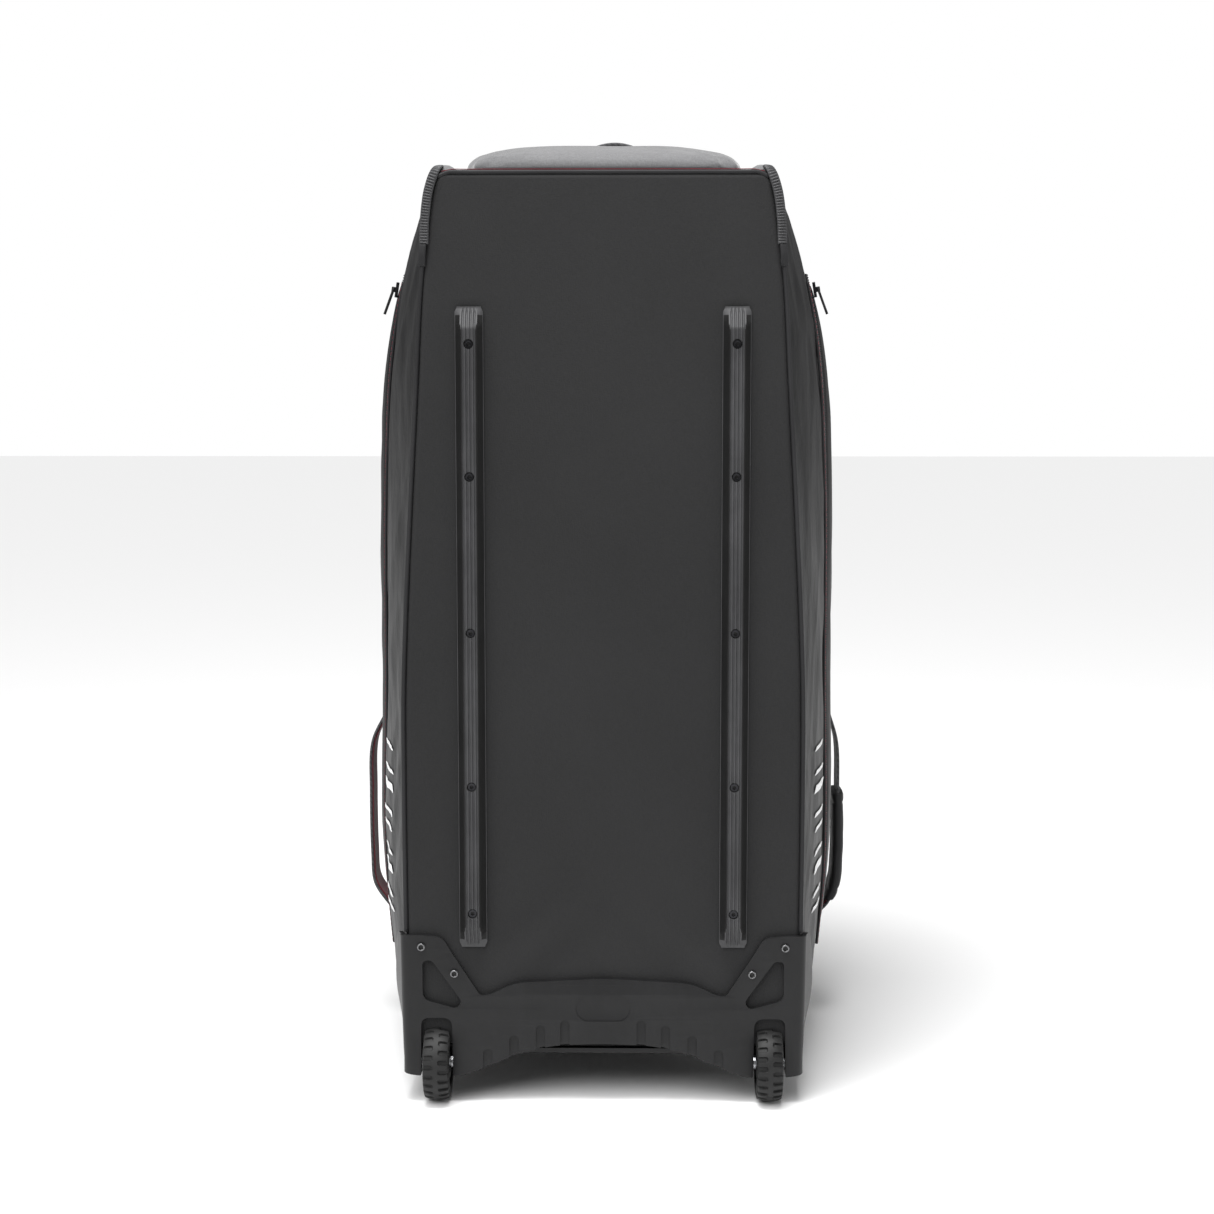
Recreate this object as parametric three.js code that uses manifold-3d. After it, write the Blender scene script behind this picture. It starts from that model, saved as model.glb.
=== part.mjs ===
// Wheeled equipment bag, standing on its wheels and front feet.
// Millimetres, +Z up, origin on the floor under the middle of the bag.
// The stiff back, with the skid rails and the wheels, faces -Y; the lid faces +Y.
import * as THREE from "three";
import { mergeVertices } from "three/addons/utils/BufferGeometryUtils.js";
import Module from "manifold-3d";

const wasm = await Module();
wasm.setup();

// Driving dimensions.
const GAP = 0.4; // clearance between pieces that touch
const BACK_Y = -180; // outside of the back panel
const PANEL_IN = BACK_Y + 5; // inside of the back panel
const FRONT_Y = 181; // outside of the front lips and the lid
const WALL = 3.5; // padded fabric walls
const FLOOR_Z = 50; // underside of the fabric bag, top of the tray
const TOP_Z = 868; // seam between the back panel and the top panel
const FOLD_Z = 789; // where the side flaps fold
const LID_HALF = 140; // half width of the lid
const LID_LOW = 98;
const LID_HIGH = 831;
const WHEEL = { x: 157, y: -172, radius: 36, width: 26 };
const CENTRE_Y = 8.8; // moves the bag so that the middle of its depth is at zero
const RAIL = { x: 122, z: 448.5, length: 597, foot: 26, crest: 13.5, height: 10, ramp: 20 };
const RAIL_SCREWS = [-264.5, -144, 0, 144, 264.5]; // heights from the middle of a rail
const ARM_SCREWS = [
  [171, 151],
  [140, 125.5],
]; // across from the middle, and height

const SIDES = [
  ["left", -1],
  ["right", 1],
];
const v3 = (x, y, z) => new THREE.Vector3(x, y, z);

// Materials, one for each kind of stuff.
const stuff = (color, roughness, metalness = 0) =>
  new THREE.MeshStandardMaterial({ color, roughness, metalness });
const MATERIAL = {
  weave: stuff(0x26272a, 0.85),
  tarp: stuff(0x232426, 0.45),
  moulding: stuff(0x202123, 0.55),
  railPlastic: stuff(0x2c2d30, 0.45),
  board: stuff(0x18181a, 0.6),
  rubber: stuff(0x1b1b1c, 0.75),
  hub: stuff(0x2a2a2c, 0.5),
  steel: stuff(0x8f9296, 0.35, 1),
  blackScrew: stuff(0x141416, 0.35, 1),
  zip: stuff(0x161618, 0.5),
  webbing: stuff(0x2e2f31, 0.8),
};

const bag = new THREE.Group();
bag.position.y = CENTRE_Y;
function add(name, geometry, material, parent = bag) {
  const mesh = new THREE.Mesh(geometry, material);
  mesh.name = name;
  parent.add(mesh);
  return mesh;
}

// Solids for cutting and joining.
function solid(geometry) {
  const bare = geometry.clone();
  bare.deleteAttribute("normal");
  bare.deleteAttribute("uv");
  const merged = mergeVertices(bare, 1e-3);
  return new wasm.Manifold(
    new wasm.Mesh({
      numProp: 3,
      vertProperties: merged.attributes.position.array,
      triVerts: new Uint32Array(merged.index.array),
    }),
  );
}
function geometryOf(manifold) {
  const mesh = manifold.getMesh();
  const geometry = new THREE.BufferGeometry();
  geometry.setAttribute("position", new THREE.BufferAttribute(mesh.vertProperties, 3));
  geometry.setIndex(new THREE.BufferAttribute(mesh.triVerts, 1));
  return geometry;
}
function box(low, high) {
  const size = high.map((h, i) => h - low[i]);
  const middle = high.map((h, i) => (h + low[i]) / 2);
  return new THREE.BoxGeometry(...size).translate(...middle);
}
// A cylinder along X, Y or Z, through middle.
function rod(radius, length, axis, middle, sides = 12) {
  const geometry = new THREE.CylinderGeometry(radius, radius, length, sides);
  if (axis === "x") geometry.rotateZ(Math.PI / 2);
  if (axis === "z") geometry.rotateX(Math.PI / 2);
  return geometry.translate(...middle);
}
// A profile drawn in X and Z, thickened along Y from y0 to y1.
function slabXZ(shape, y0, y1, curveSegments = 6) {
  const geometry = new THREE.ExtrudeGeometry(shape, {
    depth: y1 - y0,
    bevelEnabled: false,
    curveSegments,
  });
  return geometry.rotateX(Math.PI / 2).translate(0, y1, 0);
}
const mirrorX = (manifold) => manifold.mirror([1, 0, 0]);
const onSide = (manifold, side) => (side < 0 ? mirrorX(manifold) : manifold);

// A closed sheet between two surfaces given as functions of u and v, both from 0 to 1.
function sheet(outer, inner, nu, nv) {
  const positions = [];
  const index = [];
  for (const surface of [outer, inner])
    for (let j = 0; j <= nv; j++)
      for (let i = 0; i <= nu; i++) positions.push(...surface(i / nu, j / nv).toArray());
  const at = (layer, i, j) => layer * (nu + 1) * (nv + 1) + j * (nu + 1) + i;
  const quad = (a, b, c, d) => index.push(a, b, c, a, c, d);
  for (let j = 0; j < nv; j++)
    for (let i = 0; i < nu; i++) {
      quad(at(0, i, j), at(0, i + 1, j), at(0, i + 1, j + 1), at(0, i, j + 1));
      quad(at(1, i, j), at(1, i, j + 1), at(1, i + 1, j + 1), at(1, i + 1, j));
    }
  for (let i = 0; i < nu; i++) {
    quad(at(0, i, 0), at(1, i, 0), at(1, i + 1, 0), at(0, i + 1, 0));
    quad(at(0, i, nv), at(0, i + 1, nv), at(1, i + 1, nv), at(1, i, nv));
  }
  for (let j = 0; j < nv; j++) {
    quad(at(0, 0, j), at(0, 0, j + 1), at(1, 0, j + 1), at(1, 0, j));
    quad(at(0, nu, j), at(1, nu, j), at(1, nu, j + 1), at(0, nu, j + 1));
  }
  const geometry = new THREE.BufferGeometry();
  geometry.setAttribute("position", new THREE.Float32BufferAttribute(positions, 3));
  geometry.setIndex(index);
  const made = solid(geometry);
  if (made.volume() > 0) return geometry;
  for (let i = 0; i < index.length; i += 3) [index[i + 1], index[i + 2]] = [index[i + 2], index[i + 1]];
  geometry.setIndex(index);
  return geometry;
}

// The bag's outside, as half widths that vary with height.
function profile(points) {
  return (z) => {
    if (z <= points[0][0]) return points[0][1];
    const last = points.length - 1;
    if (z >= points[last][0]) return points[last][1];
    const i = points.findIndex((p) => p[0] > z) - 1;
    const [z0, x0] = points[i];
    const [z1, x1] = points[i + 1];
    return THREE.MathUtils.lerp(x0, x1, (z - z0) / (z1 - z0));
  };
}
// Back corner, where the piping runs.
const backHalf = profile([
  [40, 184],
  [310, 185.5],
  [385, 185],
  [534, 178.5],
  [680, 170],
  [753, 166],
  [824, 159],
  [868, 152],
]);
// Middle of the side.
const ridgeHalf = profile([
  [40, 188],
  [60, 199],
  [95, 211],
  [140, 217],
  [400, 219.5],
  [600, 218],
  [690, 213],
  [735, 207],
  [775, 199],
  [822, 186],
  [842, 178],
  [857, 166],
  [868, 151],
]);
const frontHalf = (z) => backHalf(z) + 4;

// The side's line in plan at a height, from the back corner round to the front lip.
function sideLine(z) {
  const ridge = ridgeHalf(z);
  return new THREE.CatmullRomCurve3([
    v3(backHalf(z), PANEL_IN + GAP, z),
    v3((backHalf(z) + 2 * ridge) / 3, -95, z),
    v3(ridge, -12, z),
    v3(ridge - 2, 90, z),
    v3(frontHalf(z) - 1, 164, z),
    v3(LID_HALF + 3, FRONT_Y, z),
  ]);
}
// A point of the side, moved out along its normal by offset.
function sidePoint(u, z, offset) {
  const line = sideLine(z);
  const point = line.getPoint(u);
  const along = line.getTangent(u);
  return point.add(v3(-along.y, along.x, 0).normalize().multiplyScalar(-offset));
}
const sideSheet = (low, high, nv) =>
  sheet(
    (u, v) => sidePoint(u, THREE.MathUtils.lerp(low, high, v), 0),
    (u, v) => sidePoint(u, THREE.MathUtils.lerp(low, high, v), -WALL),
    12,
    nv,
  );

// The bag's outline in plan at a height, moved out by offset, thickened from z0 to z1.
function planSlab(z, offset, z0, z1) {
  const points = [];
  for (let i = 0; i <= 12; i++) points.push(sidePoint(i / 12, z, offset));
  const outline = points.map((p) => new THREE.Vector2(p.x, p.y));
  outline.push(...outline.map((p) => new THREE.Vector2(-p.x, p.y)).reverse());
  const geometry = new THREE.ExtrudeGeometry(new THREE.Shape(outline), {
    depth: z1 - z0,
    bevelEnabled: false,
  });
  return solid(geometry.translate(0, 0, z0));
}

// Wheel housings, and the space that the soft pieces leave for them.
const HOUSING = { inner: 137.5, outer: 181, front: -130, top: 85, low: 26 };
const WELL = { inner: 141.8, outer: 172.2, front: -133, top: 81 };
const housingRoom = (side) =>
  onSide(solid(box([HOUSING.inner - GAP, -200, 0], [230, HOUSING.front + GAP, HOUSING.top + GAP])), side);
function clearOfHousings(manifold) {
  return manifold.subtract(housingRoom(-1)).subtract(housingRoom(1));
}

// Holes for screws along Y.
function drilled(manifold, radius, places, sides = 8) {
  return places.reduce(
    (left, [x, z]) => left.subtract(solid(rod(radius, 40, "y", [x, BACK_Y, z], sides))),
    manifold,
  );
}
const railPlaces = SIDES.flatMap(([, side]) => RAIL_SCREWS.map((z) => [side * RAIL.x, RAIL.z + z]));
const armPlaces = SIDES.flatMap(([, side]) => ARM_SCREWS.map(([x, z]) => [side * x, z]));

// Stiff back: a fabric-covered panel outside, a plastic board inside.
function backOutline(inset, low, high, corner) {
  const half = (z) => backHalf(z) - inset;
  const shape = new THREE.Shape();
  shape.moveTo(-half(low), low);
  shape.lineTo(half(low), low);
  const steps = [310, 385, 534, 680, 753, 824].filter((z) => z > low && z < high - corner);
  for (const z of steps) shape.lineTo(half(z), z);
  shape.lineTo(half(high - corner), high - corner);
  shape.quadraticCurveTo(half(high), high, half(high) - corner, high);
  shape.lineTo(-half(high) + corner, high);
  shape.quadraticCurveTo(-half(high), high, -half(high - corner), high - corner);
  for (const z of steps.reverse()) shape.lineTo(-half(z), z);
  shape.closePath();
  return shape;
}
const SHAFT = 2;
const panel = solid(slabXZ(backOutline(0, FLOOR_Z + 6, TOP_Z - 2, 9), BACK_Y, PANEL_IN));
add(
  "back_panel",
  geometryOf(drilled(clearOfHousings(panel), SHAFT + 0.3, [...railPlaces, ...armPlaces])),
  MATERIAL.weave,
);
const board = solid(slabXZ(backOutline(14, 96, TOP_Z - 20, 12), PANEL_IN + GAP, PANEL_IN + GAP + 3));
add("back_board", geometryOf(drilled(board, SHAFT + 0.3, [...railPlaces, ...armPlaces])), MATERIAL.board);

// Soft sides, and the flaps at their upper ends.
for (const [name, side] of SIDES) {
  const wall = clearOfHousings(onSide(solid(sideSheet(FLOOR_Z + 1, FOLD_Z - GAP / 2, 12)), side));
  add("side_panel_" + name, geometryOf(wall), MATERIAL.tarp);
  const flap = onSide(solid(sideSheet(FOLD_Z + GAP / 2, TOP_Z - 3, 7)), side);
  add("side_flap_" + name, geometryOf(flap), MATERIAL.tarp);
}

// Top: a domed panel with a stuffed pocket on it.
const TOP_HALF = 141;
const dome = (x, y) => TOP_Z + 7 * (1 - (x / 170) ** 2) * (1 - (y / 190) ** 2);
const topPoint = (u, v, rise) => {
  const x = THREE.MathUtils.lerp(-TOP_HALF, TOP_HALF, u);
  const y = THREE.MathUtils.lerp(BACK_Y + 6, FRONT_Y - 6, v);
  return v3(x, y, dome(x, y) + rise);
};
add(
  "top_panel",
  sheet(
    (u, v) => topPoint(u, v, 0),
    (u, v) => topPoint(u, v, -WALL),
    8,
    8,
  ),
  MATERIAL.weave,
);
const POCKET = { half: 130, back: -166, front: 36, rise: 22 };
const pocketPoint = (u, v, share) => {
  const x = THREE.MathUtils.lerp(-POCKET.half, POCKET.half, u);
  const y = THREE.MathUtils.lerp(POCKET.back, POCKET.front, v);
  const edge = Math.min(u, 1 - u, v * 0.8, (1 - v) * 0.8);
  const swell = Math.sin((Math.PI / 2) * Math.min(1, edge / 0.14));
  return v3(x, y, dome(x, y) + GAP + share * (6 + (POCKET.rise - 6) * swell));
};
add(
  "top_pocket",
  sheet(
    (u, v) => pocketPoint(u, v, 1),
    (u, v) => pocketPoint(u, v, 0),
    12,
    8,
  ),
  MATERIAL.weave,
);

// Bottom panel, front border and lid.
const floor = planSlab(FLOOR_Z, -WALL - 1, FLOOR_Z + GAP, FLOOR_Z + GAP + WALL);
add("bottom_panel", geometryOf(clearOfHousings(floor)), MATERIAL.weave);
const BORDER = LID_HALF - 0.5;
add(
  "front_header",
  box([-BORDER, FRONT_Y - WALL, LID_HIGH + 1], [BORDER, FRONT_Y, TOP_Z - 6]),
  MATERIAL.weave,
);
add(
  "front_sill",
  box([-BORDER, FRONT_Y - WALL, FLOOR_Z + WALL + 2 * GAP], [BORDER, FRONT_Y, LID_LOW - 1]),
  MATERIAL.weave,
);
const CROWN = 9;
const lidPoint = (u, v, crown) => {
  const swell = Math.sin(Math.PI * u) ** 0.7 * Math.sin(Math.PI * v) ** 0.4;
  return v3(
    THREE.MathUtils.lerp(-LID_HALF, LID_HALF, u),
    crown ? FRONT_Y + CROWN * swell : FRONT_Y - WALL,
    THREE.MathUtils.lerp(LID_LOW, LID_HIGH, v),
  );
};
add(
  "lid",
  sheet(
    (u, v) => lidPoint(u, v, true),
    (u, v) => lidPoint(u, v, false),
    8,
    10,
  ),
  MATERIAL.weave,
);

// Lid zip: a flat band round three edges of the lid.
const ZIP = { width: 8.5, thick: 2.2 };
{
  const right = LID_HALF + 1.5;
  const reach = LID_HALF - 7;
  const band = new THREE.Shape();
  band.moveTo(-reach, LID_LOW - 2);
  band.lineTo(right, LID_LOW - 2);
  band.lineTo(right, LID_HIGH + 2);
  band.lineTo(-reach, LID_HIGH + 2);
  band.lineTo(-reach, LID_HIGH + 2 - ZIP.width);
  band.lineTo(right - ZIP.width, LID_HIGH + 2 - ZIP.width);
  band.lineTo(right - ZIP.width, LID_LOW - 2 + ZIP.width);
  band.lineTo(-reach, LID_LOW - 2 + ZIP.width);
  band.closePath();
  const strip = solid(slabXZ(band, FRONT_Y + GAP, FRONT_Y + GAP + ZIP.thick));
  const lidRoom = solid(
    sheet(
      (u, v) => lidPoint(u, v, true).add(v3(0, GAP, 0)),
      (u, v) => lidPoint(u, v, false).add(v3(0, -5, 0)),
      8,
      10,
    ),
  );
  add("lid_zip", geometryOf(strip.subtract(lidRoom)), MATERIAL.zip);
}

// Flap zips: a ridged band up the back corner, over the top and down the front.
function flapZipLine(side) {
  return new THREE.CatmullRomCurve3([
    v3(side * 162.8, BACK_Y - 0.8, FOLD_Z - 4),
    v3(side * 162, BACK_Y - 0.8, 825),
    v3(side * 158.5, BACK_Y - 1, 850),
    v3(side * 152.5, BACK_Y - 0.9, TOP_Z - 3),
    v3(side * 148.5, BACK_Y + 5, TOP_Z + 2.4),
    v3(side * 147, BACK_Y + 30, TOP_Z + 2.4),
    v3(side * 147, 0, TOP_Z + 2.4),
    v3(side * 147, FRONT_Y - 30, TOP_Z + 2.4),
    v3(side * 147, FRONT_Y - 6, TOP_Z + 2.4),
    v3(side * 147.5, FRONT_Y + 1.2, TOP_Z - 3),
    v3(side * 148, FRONT_Y + 1, 845),
    v3(side * 148, FRONT_Y + 1, FOLD_Z + 6),
  ]);
}
for (const [name, side] of SIDES) {
  const line = flapZipLine(side);
  const bandPoint = (u, v, lift) => {
    const along = line.getTangentAt(u);
    const out = v3(0, -along.z, along.y).normalize();
    return line
      .getPointAt(u)
      .add(out.multiplyScalar(lift))
      .add(v3((v - 0.5) * ZIP.width, 0, 0));
  };
  add(
    "flap_zip_" + name,
    sheet(
      (u, v) => bandPoint(u, v, ZIP.thick + 0.4),
      (u, v) => bandPoint(u, v, 0.4),
      44,
      1,
    ),
    MATERIAL.zip,
  );
}

// Long pockets on the front half of the sides.
const SIDE_POCKET = { low: 128, high: 772, back: 0.42, front: 0.84, swell: 9.5 };
for (const [name, side] of SIDES) {
  const spot = (u, v, share) => {
    const z = THREE.MathUtils.lerp(SIDE_POCKET.low, SIDE_POCKET.high, v);
    const along = THREE.MathUtils.lerp(SIDE_POCKET.back, SIDE_POCKET.front, u);
    const edge = Math.min(u, 1 - u, 3 * v, 3 * (1 - v));
    const swell = Math.sin((Math.PI / 2) * Math.min(1, edge / 0.3));
    return sidePoint(along, z, 1.2 + share * (1.5 + (SIDE_POCKET.swell - 1.5) * swell));
  };
  const pocket = sheet(
    (u, v) => spot(u, v, 1),
    (u, v) => spot(u, v, 0),
    8,
    12,
  );
  add("side_pocket_" + name, geometryOf(onSide(solid(pocket), side)), MATERIAL.tarp);
}

// Straight zips up the sides, behind the pockets.
const SIDE_ZIP = { u: 0.385, half: 0.0105, low: 140, high: 792 - ZIP.width };
for (const [name, side] of SIDES) {
  const spot = (u, v, offset) => {
    const z = THREE.MathUtils.lerp(SIDE_ZIP.low, SIDE_ZIP.high, v);
    return sidePoint(SIDE_ZIP.u + (2 * u - 1) * SIDE_ZIP.half, z, offset);
  };
  const band = sheet(
    (u, v) => spot(u, v, 0.6 + ZIP.thick),
    (u, v) => spot(u, v, 0.6),
    1,
    20,
  );
  add("side_zip_" + name, geometryOf(onSide(solid(band), side)), MATERIAL.zip);
}

// Moulded base: a back plate with an arm at each corner, wings round the sides and wheel housings.
const PLATE_OUT = BACK_Y - GAP - 4;
const PLATE_IN = BACK_Y - GAP;
function basePlate() {
  const half = new THREE.Shape();
  half.moveTo(-1, 57.5);
  half.quadraticCurveTo(48, 57.5, 78, 48);
  half.lineTo(112, 33);
  half.quadraticCurveTo(124, 26, 141, 25);
  half.lineTo(141, 28);
  half.lineTo(172.5, 29);
  half.lineTo(185, 29);
  half.lineTo(189, 162);
  half.lineTo(172, 162);
  half.quadraticCurveTo(152, 160, 143, 146);
  half.lineTo(115, 104);
  half.quadraticCurveTo(112, 100, 107, 106);
  half.quadraticCurveTo(98, 115, 80, 116.5);
  half.lineTo(-1, 120.5);
  half.closePath();
  const window = new THREE.Path();
  window.moveTo(170, 137);
  window.quadraticCurveTo(166, 144, 161.5, 138);
  window.lineTo(133, 98);
  window.quadraticCurveTo(130, 90, 138, 91);
  window.lineTo(166.5, 99);
  window.quadraticCurveTo(170, 100, 170, 104);
  window.closePath();
  half.holes.push(window);
  const right = solid(slabXZ(half, PLATE_OUT, PLATE_IN, 5));
  return right.add(mirrorX(right));
}
function baseWing() {
  const reach = (z) => THREE.MathUtils.mapLinear(z, 29, 162, 0.27, 0.09);
  const point = (u, v, offset) => {
    const z = THREE.MathUtils.lerp(29, 162, v);
    const side = sidePoint(Math.max(0, u * 1.05 - 0.05) * reach(z), z, offset);
    return u === 0 ? v3(side.x, PLATE_OUT, z) : side;
  };
  return solid(
    sheet(
      (u, v) => point(u, v, GAP + 4),
      (u, v) => point(u, v, GAP + 0.6),
      8,
      8,
    ),
  );
}
function wheelWell() {
  const arch = new THREE.Shape();
  arch.moveTo(WELL.inner - 1, -10);
  arch.lineTo(WELL.outer + 0.5, -10);
  arch.lineTo(WELL.outer, WELL.top - 10);
  arch.quadraticCurveTo(WELL.outer, WELL.top, WELL.outer - 10, WELL.top);
  arch.lineTo(WELL.inner + 10, WELL.top);
  arch.quadraticCurveTo(WELL.inner, WELL.top, WELL.inner, WELL.top - 10);
  arch.closePath();
  return solid(slabXZ(arch, -210, WELL.front, 4));
}
{
  const housing = solid(
    box([HOUSING.inner, PLATE_IN - 1, HOUSING.low], [HOUSING.outer, HOUSING.front, HOUSING.top]),
  );
  const corner = housing.add(baseWing());
  const axleHole = solid(rod(4.4, 80, "x", [WHEEL.x, WHEEL.y, WHEEL.radius]));
  const base = basePlate()
    .add(corner)
    .add(mirrorX(corner))
    .subtract(wheelWell())
    .subtract(mirrorX(wheelWell()))
    .subtract(axleHole)
    .subtract(mirrorX(axleHole));
  add("base_shell", geometryOf(drilled(base, SHAFT + 0.3, armPlaces)), MATERIAL.moulding);
}

// Tray under the bag, with two front feet level with the bottom of the wheels.
function frontFoot() {
  const foot = new THREE.Shape();
  foot.moveTo(126, 0);
  foot.lineTo(168, 0);
  foot.quadraticCurveTo(176, 0, 177, 10);
  foot.lineTo(180, FLOOR_Z - 4);
  foot.lineTo(108, FLOOR_Z - 4);
  foot.lineTo(118, 8);
  foot.quadraticCurveTo(119, 0, 126, 0);
  return solid(slabXZ(foot, 112, 164, 3));
}
// Base tray: a moulded floor under the fabric, with the two front feet.
const TRAY_THICK = 4.5;
const tray = planSlab(FLOOR_Z, -2, FLOOR_Z - TRAY_THICK, FLOOR_Z);
add(
  "base_tray",
  geometryOf(clearOfHousings(tray).add(frontFoot()).add(mirrorX(frontFoot()))),
  MATERIAL.moulding,
);

// Skid rails: ribbed, with a ramp at each end, screwed through the back.
function rail() {
  const section = new THREE.Shape();
  const rib = RAIL.crest / 7;
  section.moveTo(-RAIL.foot / 2, 0);
  section.lineTo(RAIL.foot / 2, 0);
  section.lineTo(RAIL.foot / 2, 1.5);
  section.lineTo(RAIL.crest / 2, RAIL.height);
  for (const groove of [2, 0, -2]) {
    section.lineTo((groove + 0.5) * rib, RAIL.height);
    section.lineTo(groove * rib, RAIL.height - 1);
    section.lineTo((groove - 0.5) * rib, RAIL.height);
  }
  section.lineTo(-RAIL.crest / 2, RAIL.height);
  section.lineTo(-RAIL.foot / 2, 1.5);
  section.closePath();
  const bar = new THREE.ExtrudeGeometry(section, { depth: RAIL.length, bevelEnabled: false });
  bar.rotateZ(Math.PI).translate(0, BACK_Y - GAP, RAIL.z - RAIL.length / 2);
  const ramps = new THREE.Shape();
  const low = RAIL.z - RAIL.length / 2;
  const high = RAIL.z + RAIL.length / 2;
  ramps.moveTo(0, low);
  ramps.lineTo(0, high);
  ramps.lineTo(1.5, high);
  ramps.lineTo(RAIL.height + 1, high - RAIL.ramp);
  ramps.lineTo(RAIL.height + 1, low + RAIL.ramp);
  ramps.lineTo(1.5, low);
  ramps.closePath();
  const side = new THREE.ExtrudeGeometry(ramps, { depth: 40, bevelEnabled: false });
  side.rotateX(Math.PI / 2).rotateZ(-Math.PI / 2).translate(20, BACK_Y - GAP, 0);
  return solid(bar).intersect(solid(side));
}
const HEAD = { radius: 3.7, height: 3, seat: 5.2 }; // seat is the counterbore's depth
for (const [name, side] of SIDES) {
  let cut = rail().translate([side * RAIL.x, 0, 0]);
  for (const z of RAIL_SCREWS) {
    const mouth = BACK_Y - GAP - RAIL.height;
    const middle = mouth + (HEAD.seat - 5) / 2;
    const bore = rod(HEAD.radius + 0.5, HEAD.seat + 5, "y", [side * RAIL.x, middle, RAIL.z + z], 14);
    cut = cut.subtract(solid(bore));
  }
  add("rail_" + name, geometryOf(drilled(cut, SHAFT + 0.3, railPlaces)), MATERIAL.railPlastic);
}

// Screws: a socket head outside, and a shaft through the panel and the board.
function screw(x, z, headY) {
  const head = solid(rod(HEAD.radius, HEAD.height, "y", [x, headY - HEAD.height / 2, z]));
  const inner = PANEL_IN + GAP + 3.5;
  const shaft = solid(rod(SHAFT, inner - headY + 1, "y", [x, (inner + headY - 1) / 2, z], 8));
  const socket = solid(rod(1.9, 3, "y", [x, headY - HEAD.height, z], 6));
  return geometryOf(head.add(shaft).subtract(socket));
}
for (const [name, side] of SIDES) {
  RAIL_SCREWS.forEach((z, i) => {
    const seat = BACK_Y - GAP - RAIL.height + HEAD.seat - 0.3;
    add(`rail_screw_${name}_${i + 1}`, screw(side * RAIL.x, RAIL.z + z, seat), MATERIAL.blackScrew);
  });
  ARM_SCREWS.forEach(([x, z], i) => {
    add(`base_screw_${name}_${i + 1}`, screw(side * x, z, PLATE_OUT - 0.3), MATERIAL.steel);
  });
}

// Wheels: tyre, hub, a bearing each side and an axle.
function ring(profileRX, middle) {
  const points = profileRX.map(([r, x]) => new THREE.Vector2(r, x));
  points.push(points[0].clone());
  return new THREE.LatheGeometry(points, 24).rotateZ(-Math.PI / 2).translate(...middle);
}
for (const [name, side] of SIDES) {
  const centre = [side * WHEEL.x, WHEEL.y, WHEEL.radius];
  const half = WHEEL.width / 2;
  const tyre = ring(
    [
      [24, -9],
      [31, -12],
      [WHEEL.radius - 2.6, -half + 0.4],
      [WHEEL.radius - 0.8, -7],
      [WHEEL.radius, 0],
      [WHEEL.radius - 0.8, 7],
      [WHEEL.radius - 2.6, half - 0.4],
      [31, 12],
      [24, 9],
    ],
    centre,
  );
  add("tyre_" + name, tyre, MATERIAL.rubber);
  const hub = ring(
    [
      [11.4, -10.5],
      [14, -11.5],
      [23.6, -9],
      [23.6, 9],
      [14, 11.5],
      [11.4, 10.5],
    ],
    centre,
  );
  add("hub_" + name, hub, MATERIAL.hub);
  const bearing = ring(
    [
      [4.4, -10],
      [11, -10],
      [11, 10],
      [4.4, 10],
    ],
    centre,
  );
  add("bearing_" + name, bearing, MATERIAL.steel);
  const shaft = solid(rod(4, 42, "x", centre));
  const spacerAt = (end) => [centre[0] + end * 13.4, centre[1], centre[2]];
  const spacers = [-1, 1].map((end) => solid(rod(6.5, 2.6, "x", spacerAt(end))));
  add("axle_" + name, geometryOf(spacers.reduce((all, s) => all.add(s), shaft)), MATERIAL.steel);
}

// Haul straps: a webbing loop on each side, the right one with a wrapped grip.
const STRAP = { y: 92, width: 38, thick: 3, reach: { left: 250.2, right: 245.4 } };
const ANCHOR = { low: 112, high: 362 };
function strapLine(reach) {
  return new THREE.CatmullRomCurve3([
    v3(230.5, STRAP.y, ANCHOR.high - 8),
    v3(237.5, STRAP.y, 338),
    v3(reach - 2, STRAP.y, 300),
    v3(reach, STRAP.y, 245),
    v3(reach, STRAP.y, 180),
    v3(reach - 2, STRAP.y, 148),
    v3(238, STRAP.y, 128),
    v3(226, STRAP.y, ANCHOR.low + 7),
  ]);
}
function strap(reach, outside, inside, wide) {
  const line = strapLine(reach);
  const point = (u, v, lift) => {
    const along = line.getTangentAt(u);
    return line
      .getPointAt(u)
      .add(v3(-along.z, 0, along.x).multiplyScalar(lift))
      .add(v3(0, (v - 0.5) * wide, 0));
  };
  return solid(
    sheet(
      (u, v) => point(u, v, outside),
      (u, v) => point(u, v, inside),
      22,
      1,
    ),
  );
}
for (const [name, side] of SIDES) {
  const webbing = strap(STRAP.reach[name], STRAP.thick, 0, STRAP.width);
  add("haul_strap_" + name, geometryOf(onSide(webbing, side)), MATERIAL.webbing);
}
const GRIP = { low: 131, high: 246, thick: 12, wide: 46, x: 247.6 };
{
  const outline = new THREE.Shape();
  const [w, t, r] = [GRIP.wide / 2, GRIP.thick / 2, 4];
  outline.moveTo(-t + r, -w);
  outline.lineTo(t - r, -w);
  outline.quadraticCurveTo(t, -w, t, -w + r);
  outline.lineTo(t, w - r);
  outline.quadraticCurveTo(t, w, t - r, w);
  outline.lineTo(-t + r, w);
  outline.quadraticCurveTo(-t, w, -t, w - r);
  outline.lineTo(-t, -w + r);
  outline.quadraticCurveTo(-t, -w, -t + r, -w);
  const length = GRIP.high - GRIP.low;
  const grip = new THREE.ExtrudeGeometry(outline, { depth: length, bevelEnabled: false, curveSegments: 3 });
  grip.translate(GRIP.x, STRAP.y, GRIP.low);
  const hollow = solid(grip).subtract(
    strap(STRAP.reach.right, STRAP.thick + GAP, -GAP, STRAP.width + 2 * GAP),
  );
  const parts = hollow.decompose().sort((a, b) => b.volume() - a.volume());
  add("grip_wrap", geometryOf(parts[0]), MATERIAL.webbing);
}

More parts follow.
